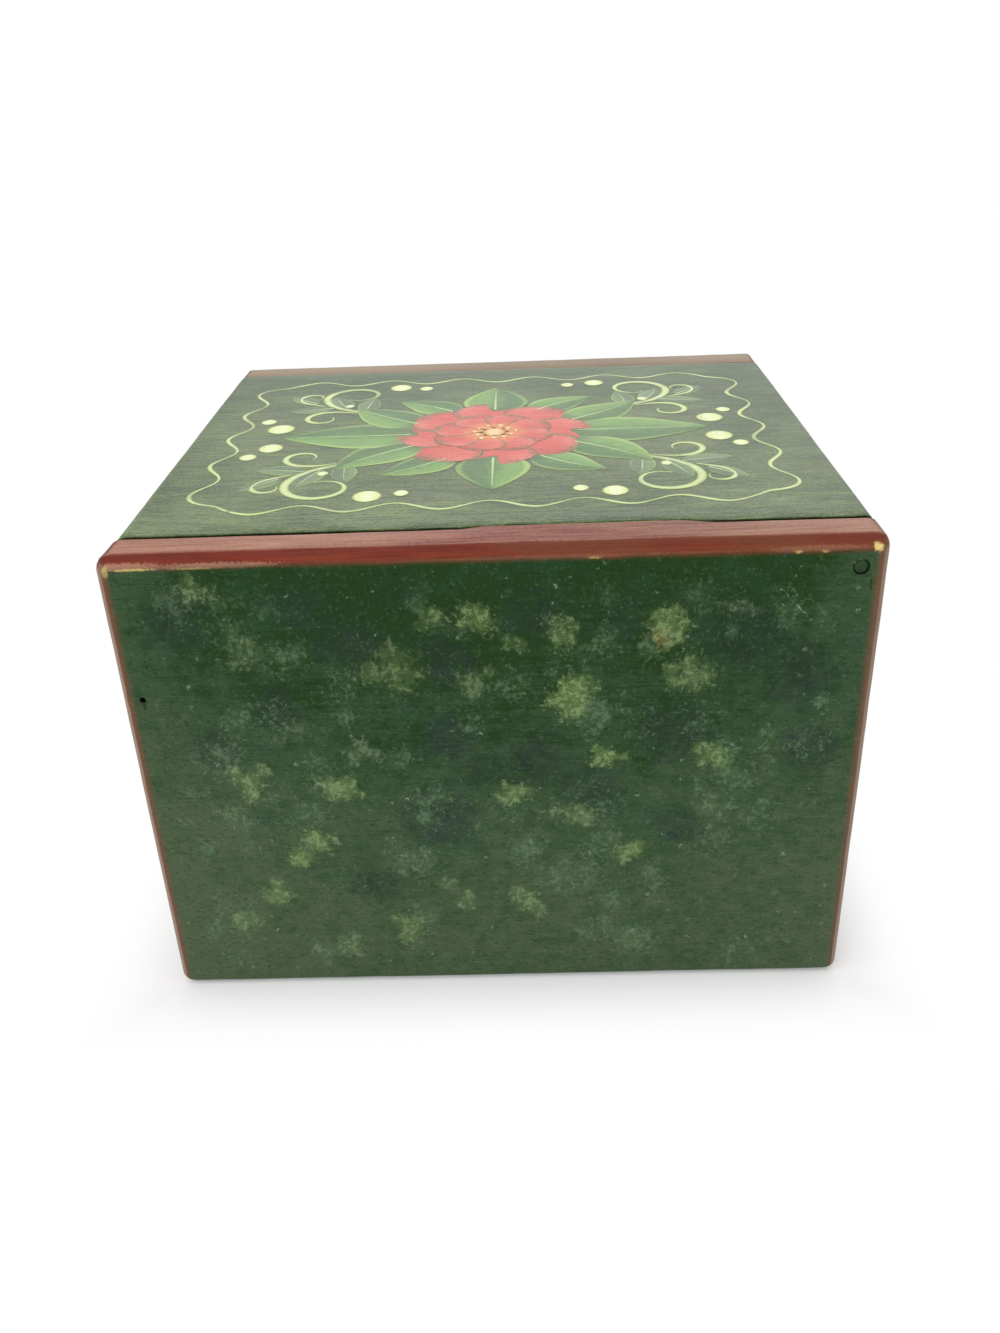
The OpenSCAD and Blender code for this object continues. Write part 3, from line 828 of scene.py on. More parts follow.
def edges_on(bm, **planes):
    """Edges that lie on all the planes given, such as x=0.1."""
    def lies_on(vert):
        return all(abs(vert.co[AXES[axis]] - place) < SAME_PLACE for axis, place in planes.items())
    return [edge for edge in bm.edges if all(lies_on(vert) for vert in edge.verts)]


def round_edges(bm, edges, radius, segments):
    """Rounds edges over."""
    bmesh.ops.bevel(
        bm, geom=list(edges), offset=radius, offset_type="OFFSET", affect="EDGES", segments=segments,
        profile=0.5, material=-1)


def spaced(low, high, spacing, kept=()):
    """Places between low and high, about evenly spaced, with none inside the kept spans."""
    stops = sorted([low, high] + [end for span in kept for end in span])
    places = []
    for first, last in zip(stops, stops[1:]):
        steps = 1 if (first, last) in kept else max(1, round((last - first) / spacing))
        places += [first + (last - first) * step / steps for step in range(steps)]
    return places[1:]


def cut_lines(bm, axis, places):
    """Cuts mesh lines right round the piece at each place along an axis."""
    normal = Vector((0.0, 0.0, 0.0))
    normal[AXES[axis]] = 1.0
    for place in places:
        everything = bm.verts[:] + bm.edges[:] + bm.faces[:]
        bmesh.ops.bisect_plane(bm, geom=everything, dist=CUT_PLACE, plane_co=normal * place, plane_no=normal)


def open_cell(bm, centre, outward):
    """Takes out the face round a point that looks a given way, and gives the edges of its rim."""
    facing = [face for face in bm.faces if face.normal.dot(outward) > 0.9]
    nearest = min(facing, key=lambda face: (face.calc_center_bounds() - centre).length)
    rim = list(nearest.edges)
    bmesh.ops.delete(bm, geom=[nearest], context="FACES_ONLY")
    return rim


def verts_of(geometry):
    """The vertices among some parts of a mesh."""
    return [item for item in geometry if isinstance(item, bmesh.types.BMVert)]


def extended(bm, edges):
    """Extrudes a loop of edges and gives the new loop's edges and vertices."""
    made = bmesh.ops.extrude_edge_only(bm, edges=edges)["geom"]
    new_edges = [item for item in made if isinstance(item, bmesh.types.BMEdge)]
    return new_edges, verts_of(made)


def drill(bm, centre, outward, radius, depth, through):
    """Sinks a round hole of that depth at a point on a face, blind or right through to the face behind.
    Its rim is softened a little, as paint leaves it."""
    rim = open_cell(bm, centre, outward)
    turn = outward.to_track_quat("Z", "Y").to_matrix().to_4x4()
    lip = radius * 1.12 + LIP_SPREAD
    ring = bmesh.ops.create_circle(
        bm, cap_ends=False, segments=28, radius=lip, matrix=Matrix.Translation(centre) @ turn)["verts"]
    ring_edges = list({edge for vert in ring for edge in vert.link_edges})
    bmesh.ops.bridge_loops(bm, edges=rim + ring_edges)
    edges, verts = extended(bm, ring_edges)
    for vert in verts:
        vert.co = centre + (vert.co - centre) * radius / lip - outward * LIP_DEPTH
    edges, verts = extended(bm, edges)
    bmesh.ops.translate(bm, vec=outward * (LIP_DEPTH - depth), verts=verts)
    if through:
        bm.normal_update()
        far_rim = open_cell(bm, centre - outward * depth, -outward)
        bmesh.ops.bridge_loops(bm, edges=far_rim + edges)
    else:
        bmesh.ops.contextual_create(bm, geom=edges)


def edge_closeness(place, low, high, reach):
    """1 on an edge of a board and 0 further than reach from it."""
    gaps = sorted(min(abs(place[i] - low[i]), abs(high[i] - place[i])) for i in range(3))
    return 1.0 - smooth_step(gaps[1], 0.0, reach)


def sand(bm, low, high, depth, kept):
    """Lets edges and faces waver inwards a little, as hand sanding leaves them."""
    bm.normal_update()
    for vert in bm.verts:
        if kept(vert.co):
            continue
        closeness = edge_closeness(vert.co, low, high, 5 * MM)
        wave = 0.5 + 0.5 * noise.noise(vert.co / (17 * MM)) + 0.25 * noise.noise(vert.co / (6 * MM))
        vert.co -= vert.normal * depth * max(wave, 0.0) * (0.15 + 0.85 * closeness)


def new_layers(bm, *names):
    """New layers of one number for each vertex, which the materials read as attributes."""
    return [bm.verts.layers.float.new(name) for name in names]


def mark_edges(bm, low, high, reach):
    """Paints how close each vertex is to an edge, for wear."""
    [edge] = new_layers(bm, "edge")
    for vert in bm.verts:
        vert[edge] = edge_closeness(vert.co, low, high, reach)


def random_dabs(draw, width, height, count, sizes, strengths):
    """Scattered sponge dabs, away from the edges of a face. Width and height are in metres, sizes in mm."""
    dabs = []
    for _ in range(count):
        place = (draw.uniform(8, width / MM - 8), draw.uniform(5, height / MM - 9))
        dabs.append((*place, draw.uniform(*sizes), draw.uniform(*strengths), draw.uniform(0.0, 1.0)))
    return dabs


def lobed(draw, dabs):
    """Each dab as a few overlapping prints, so that its outline is uneven."""
    prints = []
    for right, up, size, strength, grey in dabs:
        prints.append((right, up, size * 0.8, strength, grey))
        for _ in range(4):
            angle = draw.uniform(0.0, 2 * math.pi)
            reach = size * draw.uniform(0.25, 0.45)
            place = (right + reach * math.cos(angle), up + 0.8 * reach * math.sin(angle))
            prints.append((*place, size * draw.uniform(0.35, 0.6), strength * draw.uniform(0.6, 1.0), grey))
    return prints


def dab_amounts(right, up, dabs):
    """How far each dab covers a point, with the dab's strength and greyness."""
    for dab_right, dab_up, size, strength, grey in dabs:
        gap = math.hypot(right - dab_right, up - dab_up) / (size / 2)
        if gap < 1.8:
            gap *= 1.0 + 0.35 * noise.noise(Vector((right / 4.0, up / 4.0, size)))
            yield 1.0 - smooth_step(gap, 0.1, 1.3), strength, grey


def strongest(right, up, dabs):
    """How far the strongest of some dabs covers a point."""
    return max((cover * strength for cover, strength, _ in dab_amounts(right, up, dabs)), default=0.0)


def mark_dabs(bm, low, axis, outward, dabs, hazes, clouds, warm_spot=None):
    """Paints the strength and colour of the sponging on the face that looks outward.
    Places on that face are in mm from the board's low corner, along an axis and up."""
    dab, dab_force, dab_grey, dab_warm, haze, cloud = new_layers(
        bm, "dab", "dab_force", "dab_grey", "dab_warm", "haze", "cloud")
    bm.normal_update()
    for vert in bm.verts:
        if vert.normal.dot(outward) < 0.9:
            continue
        right = (vert.co[AXES[axis]] - low[AXES[axis]]) / MM
        up = (vert.co.z - low.z) / MM
        found = list(dab_amounts(right, up, dabs))
        total = max(sum(cover for cover, _, _ in found), 1e-6)
        vert[dab] = max((cover * (0.6 + 0.4 * strength) for cover, strength, _ in found), default=0.0)
        vert[dab_force] = sum(cover * strength for cover, strength, _ in found) / total
        vert[dab_grey] = sum(cover * grey for cover, _, grey in found) / total
        vert[haze] = strongest(right, up, hazes)
        vert[cloud] = strongest(right, up, clouds)
        if warm_spot:
            vert[dab_warm] = 1.0 - smooth_step(math.hypot(right - warm_spot[0], up - warm_spot[1]), 0.5, 3.5)


def mark_grime(bm, holes, outer):
    """Paints shade into the insides and rims of holes along X. A pin's hole gets it unevenly and most at its
    lower back side.
    """
    [grime] = new_layers(bm, "grime")
    for vert in bm.verts:
        for centre, radius, _, through in holes:
            right, up = vert.co.y - centre.y, vert.co.z - centre.z
            if math.hypot(right, up) < radius * 1.05:
                shaded = 0.5 + 0.5 * math.cos(math.atan2(up, right) + math.radians(40))
                uneven = noise.noise(Vector((right, up, 0.0)) / radius * 1.6)
                amount = min(max(0.2 + 0.5 * shaded + 0.5 * uneven, 0.0), 1.0) if through else 1.0
                vert[grime] = amount * (0.85 + 0.15 * smooth_step(abs(outer - vert.co.x), 0.0, 0.4 * MM))


def mark_trim(bm, dust_and_sheen_amount):
    """Paints where an end board's edges are upright or dull, where painted sheen lies on them, and dust, which
    also stands for painted sheen on the left board's top, by the way each point faces.
    """
    upright, dull, faded, dust = new_layers(bm, "upright", "dull", "faded", "dust")
    bm.normal_update()
    for vert in bm.verts:
        sideways = abs(vert.normal.y)
        level = smooth_step(vert.normal.z, 0.95, 0.99)
        vert[upright] = smooth_step(sideways, 0.25, 0.5)
        vert[dull] = smooth_step(sideways, 0.5, 0.72) * (1.0 - 0.6 * smooth_step(sideways, 0.8, 0.98))
        # Painted sheen: full on the level top faces, and on the outer part of the upright slopes
        slope_sheen = smooth_step(sideways, 0.64, 0.84) * (1.0 - 0.5 * smooth_step(sideways, 0.9, 0.98))
        vert[faded] = max(level, 0.6 * slope_sheen)
        # Dust on the left board's top, which also stands for painted sheen there
        vert[dust] = dust_and_sheen_amount * level


def fill_corners(bm, low, high, corner):
    """Fills out the right end board's top corners: the back one most, the front one near its outer side."""
    for vert in bm.verts:
        aside = abs(vert.co.y) - high.y + corner
        rise = vert.co.z - high.z + corner
        if min(aside, rise) <= 0.0:
            continue
        outward = (vert.co.x - low.x) / (high.x - low.x)
        power = 5.0 if vert.co.y > 0.0 else 3.0 + 1.4 * outward
        turn = math.atan2(aside, rise)
        stretch = (math.cos(turn) ** power + math.sin(turn) ** power) ** (-1.0 / power)
        vert.co.y = math.copysign(high.y - corner + aside * stretch, vert.co.y)
        vert.co.z = high.z - corner + rise * stretch


def plane_top(bm, high, slope, sizes):
    """Widens the slope along the right end board's top edge, and lets it run out round the top corners."""
    corner = sizes.end_edge
    for vert in bm.verts:
        aside = max(abs(vert.co.y) - high.y + corner, 0.0)
        rise = vert.co.z - high.z + corner
        down = corner - math.hypot(aside, rise)
        across = high.x - vert.co.x
        if rise <= 0.0 or max(down, across) > slope + 0.6 * MM:
            continue
        turn = math.atan2(aside, rise)
        along = 1.0 - smooth_step(turn, math.radians(10), math.radians(80))
        share = min(max(across / slope, 0.0), 1.0)
        waver = noise.noise(Vector((vert.co.y / (16 * MM), 0.5, 2.5)))
        drop = sizes.top_drop * (1.02 + 0.1 * vert.co.y / high.y + 0.05 * waver) - slope
        reach = sizes.top_reach * (1.0 + 0.05 * waver) - slope
        vert.co.z -= along * (1.0 - share) * drop * math.cos(turn)
        vert.co.y -= along * (1.0 - share) * drop * math.copysign(math.sin(turn), vert.co.y)
        vert.co.x -= along * share * reach


def new_piece(context, name, bm, materials, body, replaced=()):
    """Makes a bmesh a finished piece that rides on a body and stands for the nodes it replaces."""
    bmesh.ops.recalc_face_normals(bm, faces=bm.faces)
    mesh = bpy.data.meshes.new(name)
    bm.to_mesh(mesh)
    bm.free()
    for material in materials:
        mesh.materials.append(material)
    mesh.shade_smooth()
    mesh.set_sharp_from_angle(angle=SHARP_ANGLE)
    piece = bpy.data.objects.new(name, mesh)
    context.scene.collection.objects.link(piece)
    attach(piece, body)
    if replaced:
        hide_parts(*replaced)


def shared_material(name, make, *values):
    """A material by name, made on its first use."""
    return bpy.data.materials.get(name) or make(name, *values)


def end_holes(sizes, outer, inner):
    """An end board's holes: its pin's bore and, on the right end, the open nail pit. Each has its middle on
    the outer face, its radius, its depth, and whether it goes right through."""
    holes = [(Vector((outer, HINGE.y, HINGE.z)), sizes.pin_bore / 2, abs(outer - inner), True)]
    if outer > inner:
        nails_low, nails_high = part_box("right_front_nails")
        head = (nails_high.y - nails_low.y) / 2
        pit = Vector((outer, (nails_low.y + nails_high.y) / 2, nails_high.z - head))
        holes.append((pit, sizes.nail_pit / 2, outer - nails_high.x - PIT_FLOOR_OVER_NAIL, False))
    return holes


def hole_spans(holes, axis):
    """The spans along an axis that holes take up, with room for their rims."""
    spans = []
    for centre, radius, _, _ in holes:
        margin = min(1.53 * radius, radius + 0.9 * MM)
        spans.append((centre[AXES[axis]] - margin, centre[AXES[axis]] + margin))
    return spans


def near_axis(place, centre):
    """Whether a place is close to the axis of a hole along X."""
    return math.hypot(place.y - centre.y, place.z - centre.z) < HOLE_SURROUND


def lean_in(bm, inner, top):
    """Leans and swells the right end board's inner top edge towards the lid."""
    for vert in bm.verts:
        depth_in = 1.0 - smooth_step(abs(vert.co.x - inner), 0.0, 4 * MM)
        near_top = smooth_step(vert.co.z, top - 9 * MM, top - 2 * MM)
        vert.co.x -= (BOARD_LEAN + BOARD_SWELLING * gap_narrowing(vert.co.y)) * depth_in * near_top


def end_board(context, side):
    """One end board. Side is 1 for the right end and -1 for the left one."""
    sizes = context.scene.card_box_sizes
    paint = context.scene.card_box_paint
    hand = "right" if side > 0 else "left"
    low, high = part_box(hand + "_end")
    outer, inner = (high.x, low.x) if side > 0 else (low.x, high.x)
    outward = Vector((side, 0.0, 0.0))
    bm = box_mesh(low, high)
    corners = [edge for y in (low.y, high.y) for z in (low.z, high.z) for edge in edges_on(bm, y=y, z=z)]
    wear = 1.0 if side > 0 else 0.6
    slope = sizes.end_slope
    round_edges(bm, corners, sizes.end_edge * wear, 6)
    round_edges(bm, edges_on(bm, x=outer), slope, 1)
    arrises = edges_on(bm, x=outer) + edges_on(bm, x=outer - side * slope)
    round_edges(bm, arrises, sizes.eased_edge * wear, 3)
    round_edges(bm, edges_on(bm, x=inner), sizes.eased_edge, 2)

    holes = end_holes(sizes, outer, inner)
    for axis in ("y", "z"):
        first, last = low[AXES[axis]] + sizes.end_edge, high[AXES[axis]] - sizes.end_edge
        cut_lines(bm, axis, spaced(first, last, sizes.grid, hole_spans(holes, axis)))
    cut_lines(bm, "x", spaced(min(inner, outer) + 0.5 * MM, max(inner, outer) - 3 * MM, 3 * MM))
    bm.normal_update()
    for centre, radius, depth, through in holes:
        drill(bm, centre, outward, radius, depth, through)

    def kept(place):
        return any(near_axis(place, hole[0]) for hole in holes) or abs(place.x - inner) < 0.1 * MM
    sand(bm, low, high, sizes.sanding, kept)
    if side > 0:
        fill_corners(bm, low, high, sizes.end_edge)
        plane_top(bm, high, slope, sizes)
        lean_in(bm, inner, high.z)
    mark_edges(bm, low, high, 4 * MM)
    mark_grime(bm, holes, outer)
    mark_trim(bm, 0.0 if side > 0 else 0.65)
    draw = random.Random(5 + side)
    width, height = high.y - low.y, high.z - low.z
    hazes = random_dabs(draw, width, height, 90, *HAZE_RANGES)
    if side > 0:
        dabs = RIGHT_END_DABS
        clouds = [(right, up, size, 0.9, 0.0) for right, up, size in RIGHT_END_CLOUDS]
        warm = WARM_SPOT
    else:
        dabs = random_dabs(draw, width, height, 38, *DAB_RANGES)
        clouds = random_dabs(draw, width, height, 16, *CLOUD_RANGES)
        warm = None
    mark_dabs(bm, low, "y", outward, lobed(draw, dabs), hazes, clouds, warm)
    for face in bm.faces:
        facing = face.normal.dot(outward)
        face.material_index = 1 if facing < -0.7 else 0 if facing > 0.95 else 2
    materials = [
        shared_material("End board paint", sponged_paint, paint, True, paint.face_gloss),
        shared_material("Bare wood, end boards", bare_wood, paint, 0.0),
        shared_material("End board edge paint", sponged_paint, paint, True, paint.edge_gloss),
    ]
    replaced = (hand + "_end", hand + "_filler_plugs")
    new_piece(context, hand + "_end_board", bm, materials, "case", replaced)


def wall_board(context, hand, notched):
    """The front or back board between the ends, with or without the thumb notch."""
    sizes = context.scene.card_box_sizes
    paint = context.scene.card_box_paint
    low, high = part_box(hand + "_panel")
    outward = Vector((0.0, -1.0 if hand == "front" else 1.0, 0.0))
    outer = low.y if hand == "front" else high.y
    bm = bmesh.new()
    left = bm.verts.new((low.x, low.y, high.z))
    right = bm.verts.new((high.x, low.y, high.z))
    if notched:
        half = sizes.notch_width / 2
        radius = (half ** 2 + sizes.notch_depth ** 2) / (2 * sizes.notch_depth)
        start = bm.verts.new((half, low.y, high.z))
        centre = (0.0, low.y, high.z + radius - sizes.notch_depth)
        arc = bmesh.ops.spin(
            bm, geom=[start], cent=centre, axis=(0.0, 1.0, 0.0), angle=2 * math.asin(half / radius), steps=18,
            use_merge=False, use_duplicate=False)
        last = verts_of(arc["geom_last"])[0]
        bm.edges.new((right, start))
        bm.edges.new((last, left))
    else:
        bm.edges.new((right, left))
    for vert in extended(bm, bm.edges[:])[1]:
        vert.co.z = low.z
    thickened = bmesh.ops.extrude_face_region(bm, geom=bm.faces[:])["geom"]
    bmesh.ops.translate(bm, vec=(0.0, high.y - low.y, 0.0), verts=verts_of(thickened))
    bmesh.ops.recalc_face_normals(bm, faces=bm.faces)
    sharp = [edge for edge in bm.edges if edge.calc_face_angle(0.0) > 1.0]
    round_edges(bm, sharp, sizes.eased_edge, 2)
    cut_lines(bm, "x", spaced(low.x, high.x, sizes.grid))
    cut_lines(bm, "z", spaced(low.z, high.z - (sizes.notch_depth if notched else 0.0), sizes.grid))
    sand(bm, low, high, sizes.sanding * 0.5, lambda place: abs(place.y - outer) > 1 * MM)
    mark_edges(bm, low, high, 3 * MM)
    new_layers(bm, "grime")
    draw = random.Random(8 if notched else 9)
    width, height = high.x - low.x, high.z - low.z
    dabs = random_dabs(draw, width, height, 32, *DAB_RANGES)
    hazes = random_dabs(draw, width, height, 76, *HAZE_RANGES)
    clouds = random_dabs(draw, width, height, 14, *CLOUD_RANGES)
    mark_dabs(bm, low, "x", outward, lobed(draw, dabs), hazes, clouds)
    bm.normal_update()
    for face in bm.faces:
        face.material_index = 1 if face.normal.dot(outward) < -0.7 else 0
    materials = [
        shared_material("Wall board paint", sponged_paint, paint, False, paint.face_gloss),
        shared_material("Bare wood, walls", bare_wood, paint, GRAIN_ALONG_X),
    ]
    new_piece(context, hand + "_board", bm, materials, "case", (hand + "_panel",))


class CARDBOX_OT_end_boards(bpy.types.Operator):
    """Builds both end boards with rounded red edges, the pin holes and the open nail pit"""

    bl_idname = "cardbox.end_boards"
    bl_label = "End boards"

    def execute(self, context):
        end_board(context, 1)
        end_board(context, -1)
        return {"FINISHED"}


class CARDBOX_OT_wall_boards(bpy.types.Operator):
    """Builds the front board with its thumb notch, and the back board"""

    bl_idname = "cardbox.wall_boards"
    bl_label = "Front and back boards"

    def execute(self, context):
        wall_board(context, "front", True)
        wall_board(context, "back", False)
        return {"FINISHED"}


class CARDBOX_OT_bottom_board(bpy.types.Operator):
    """Builds the bare bottom board"""

    bl_idname = "cardbox.bottom_board"
    bl_label = "Bottom board"

    def execute(self, context):
        low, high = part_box("bottom_panel")
        bm = box_mesh(low, high)
        round_edges(bm, bm.edges[:], context.scene.card_box_sizes.eased_edge, 2)
        wood = shared_material("Bare wood, walls", bare_wood, context.scene.card_box_paint, GRAIN_ALONG_X)
        new_piece(context, "bottom_board", bm, [wood], "case", ("bottom_panel",))
        return {"FINISHED"}


def lid_rise(x, y):
    """How far the lid's upper side stands proud: not at its right end, and most at its left front corner."""
    from_right = (LID_HIGH.x - x) / (LID_HIGH.x - LID_LOW.x)
    from_back = (LID_HIGH.y - y) / (LID_HIGH.y - LID_LOW.y)
    return (0.3 + 0.65 * from_back) * from_right * MM


def gap_narrowing(y):
    """1 where the right end board swells towards the lid and 0 elsewhere."""
    return smooth_step(y, -7 * MM, 0 * MM) * (1.0 - smooth_step(y, 39 * MM, 48 * MM))


class CARDBOX_OT_lid_board(bpy.types.Operator):
    """Builds the lid with its rounded edges, its heel and the holes for the pins"""

    bl_idname = "cardbox.lid_board"
    bl_label = "Lid"

    def execute(self, context):
        sizes = context.scene.card_box_sizes
        paint = context.scene.card_box_paint
        low, high = LID_LOW, LID_HIGH
        bm = box_mesh(low, high)
        round_edges(bm, edges_on(bm, y=low.y, z=high.z), sizes.lid_edge, 5)
        round_edges(bm, edges_on(bm, y=high.y, z=high.z), sizes.lid_back_edge, 5)
        round_edges(bm, edges_on(bm, y=high.y, z=low.z), sizes.lid_heel - HAIR_GAP, 10)
        round_edges(bm, edges_on(bm, y=low.y, z=low.z), sizes.lid_edge / 2, 3)
        round_edges(bm, edges_on(bm, x=low.x) + edges_on(bm, x=high.x), sizes.eased_edge, 2)
        pin_low, pin_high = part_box("right_pivot_pin")
        radius = (pin_high.y - pin_low.y) / 2 + HAIR_GAP
        margin = radius * 1.5
        y_span = (HINGE.y - margin, HINGE.y + margin)
        z_span = (HINGE.z - margin, HINGE.z + margin)
        cut_lines(bm, "y", spaced(low.y + 2 * MM, high.y - 1 * MM, 2 * sizes.grid, [y_span]))
        cut_lines(bm, "z", list(z_span))
        cut_lines(bm, "x", spaced(low.x + 1 * MM, high.x - 1 * MM, 2 * sizes.grid))
        bm.normal_update()
        for side, face_x in ((1.0, high.x), (-1.0, low.x)):
            centre = Vector((face_x, HINGE.y, HINGE.z))
            drill(bm, centre, Vector((side, 0.0, 0.0)), radius, high.x - pin_low.x, False)

        def kept(place):
            return near_axis(place, HINGE) or place.z < low.z + 0.1 * MM
        sand(bm, low, high, sizes.sanding * 0.8, kept)
        mark_edges(bm, low, high, 3 * MM)
        for vert in bm.verts:
            upper = smooth_step(vert.co.z, low.z + 1 * MM, high.z - 1 * MM)
            vert.co.z += lid_rise(vert.co.x, vert.co.y) * upper
            at_right = smooth_step(vert.co.x, high.x - 3 * MM, high.x - 0.5 * MM)
            vert.co.x -= LID_DRAWN_BACK * at_right * gap_narrowing(vert.co.y)
        bm.normal_update()
        grime, cross = new_layers(bm, "grime", "cross")
        # Painted shade on the lid's ends: darkest at their upper edge where the gap is open, less further down
        # and where the right board swells close
        for vert in bm.verts:
            open_gap = 1.0 if vert.co.x < 0.0 else 1.0 - 0.85 * gap_narrowing(vert.co.y)
            deeper = smooth_step(high.z - vert.co.z, 1.5 * MM, 4 * MM)
            gap_shade = UPPER_GAP_SHADE * open_gap + (LOWER_GAP_SHADE - UPPER_GAP_SHADE * open_gap) * deeper
            vert[grime] = gap_shade * smooth_step(abs(vert.normal.x), 0.6, 0.95)
            vert[cross] = smooth_step(abs(vert.normal.y), 0.6, 0.8)
        for face in bm.faces:
            face.material_index = 1 if face.normal.z < -0.8 else 2 if abs(face.normal.x) > 0.8 else 0
        materials = [
            shared_material("Lid paint", lid_paint, paint, paint.lid_gloss),
            shared_material("Bare wood, end boards", bare_wood, paint, 0.0),
            shared_material("Lid end paint", lid_paint, paint, paint.lid_end_gloss),
        ]
        new_piece(context, "lid_board", bm, materials, "lid", ("lid",))
        return {"FINISHED"}


class CARDBOX_OT_pins_and_nails(bpy.types.Operator):
    """Builds the two pivot pins and finishes the nails"""

    bl_idname = "cardbox.pins_and_nails"
    bl_label = "Pins and nails"

    def execute(self, context):
        paint = context.scene.card_box_paint
        steel = shared_material("Wire steel", wire_steel, paint)
        coat = shared_material("End board paint", sponged_paint, paint, True, paint.face_gloss)
        film = Vector((context.scene.card_box_sizes.pin_film, 0.0, 0.0))
        for hand in ("right", "left"):
            node = hand + "_pivot_pin"
            low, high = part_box(node)
            low, high = (low, high + film) if hand == "right" else (low - film, high)
            middle = (low + high) / 2
            radius = (high.y - low.y) / 2
            turn = Matrix.Rotation(math.radians(90), 4, "Y")
            bm = bmesh.new()
            bmesh.ops.create_cone(
                bm, cap_ends=True, segments=32, radius1=radius, radius2=radius, depth=high.x - low.x,
                matrix=Matrix.Translation(middle) @ turn)
            rims = edges_on(bm, x=low.x) + edges_on(bm, x=high.x)
            round_edges(bm, rims, PIN_ROUNDING, 3)
            outer = high.x if hand == "right" else low.x
            for face in bm.faces:
                painted = abs(face.calc_center_median().x - outer) < 1.2 * PIN_ROUNDING
                face.material_index = 1 if painted else 0
            # Painted shade over the pins, darkest at their lower back side
            [grime] = new_layers(bm, "grime")
            for vert in bm.verts:
                lower_back = (vert.co.y - vert.co.z - middle.y + middle.z) / radius
                vert[grime] = 0.28 + 0.14 * lower_back
            new_piece(context, hand + "_pin", bm, [steel, coat], "lid", (node,))
        for node in ("right_front_nails", "right_back_nails", "left_front_nails", "left_back_nails"):
            for material_slot in frame["nodes"][node].material_slots:
                material_slot.material = steel
        return {"FINISHED"}


def curl(start, heading, run, first_turn, last_turn, steps):
    """Points of a line that starts at a heading and bends ever more, or less.
    Lengths are in mm and turns in degrees per mm."""
    points = [Vector(start)]
    angle = heading
    step = run / steps
    for index in range(steps):
        share = (index + 0.5) / steps
        angle += (first_turn + (last_turn - first_turn) * share) * step
        turned = math.radians(angle)
        points.append(points[-1] + Vector((math.cos(turned), math.sin(turned))) * step)
    return points


def mirrored(points, flip_x, flip_y):
    """A line's points, flipped about the lid's middle lines."""
    return [Vector((p.x * flip_x, p.y * flip_y)) for p in points]


def bulge(width, early=1.0, blunt=1.0, taper=0.0):
    """Half width in mm of a stroke that is thin at both tips, as a function of the share along it."""
    def half_width(share):
        swell = math.sin(math.pi * min(share ** early, 1.0)) ** blunt
        return width * swell * (1.0 - taper * share) + STROKE_TIP
    return half_width


def tapering(width):
    """Half width in mm of a stroke that thins towards its end, as a function of the share along it."""
    return lambda share: width * (1.0 - 0.7 * share)


class Strokes:
    """Brush strokes of one paint on the lid, gathered in one mesh. Film is the height of a stroke."""

    def __init__(self, film):
        self.film = film
        self.bm = bmesh.new()
        self.along, self.across, self.tone = new_layers(self.bm, "along", "across", "tone")

    def lay(self, points, half_width, lift, tone, rows, slope=0.0, closed=False):
        """Lays one stroke along points in mm, as a low closed ridge that is lifted by some films.
        Slope tips the stroke, so that neighbours overlap."""
        steps = len(points) - 1
        sides = []
        for index in range(steps + 1):
            before = points[index - 1] if index else (points[-2] if closed else points[0])
            after = points[index + 1] if index < steps else (points[1] if closed else points[-1])
            ahead = (after - before).normalized()
            sides.append(Vector((-ahead.y, ahead.x)))
        made = bmesh.ops.create_grid(self.bm, x_segments=steps, y_segments=rows, size=0.5)["verts"]
        for vert in made:
            share = vert.co.x + 0.5
            across = vert.co.y * 2
            index = round(share * steps)
            half = half_width(share)
            place = points[index] + sides[index] * half * across
            vert[self.along] = share
            vert[self.across] = across
            vert[self.tone] = tone
            ridge = (0.35 + 0.65 * (1.0 - across * across)) * min(1.0, half / 0.4)
            height = self.film * (lift + ridge + slope * (0.5 + 0.5 * across))
            x = LID_MIDDLE.x + place.x * MM
            y = LID_MIDDLE.y + place.y * MM
            vert.co = (x, y, LID_HIGH.z + lid_rise(x, y) + height)
        faces = list({face for vert in made for face in vert.link_faces})
        below = bmesh.ops.extrude_face_region(self.bm, geom=faces)["geom"]
        for vert in verts_of(below):
            vert.co.z = LID_HIGH.z + lid_rise(vert.co.x, vert.co.y) - STROKE_SINK

    def dot(self, middle, radius, lift, tone):
        """Lays one round dot, with its middle and radius in mm."""
        points = [middle + Vector((-radius * math.cos(math.pi * step / 14), 0.0)) for step in range(15)]
        self.lay(points, bulge(radius), lift, tone, rows=6)

    def finish(self, context, name, material):
        """Closes the strokes' tips and makes them one piece on the lid."""
        bmesh.ops.remove_doubles(self.bm, verts=self.bm.verts, dist=SAME_PLACE)
        bmesh.ops.dissolve_degenerate(self.bm, edges=self.bm.edges, dist=CUT_PLACE)
        new_piece(context, name, self.bm, [material], "lid")


def radial(angle, near, far, steps, bend=0.0):
    """A line from the flower's middle outwards, in mm, bent sideways by that many degrees."""
    points = []
    for index in range(steps + 1):
        share = index / steps
        turned = math.radians(angle + bend * share)
        points.append(Vector((math.cos(turned), math.sin(turned))) * (near + (far - near) * share))
    return points


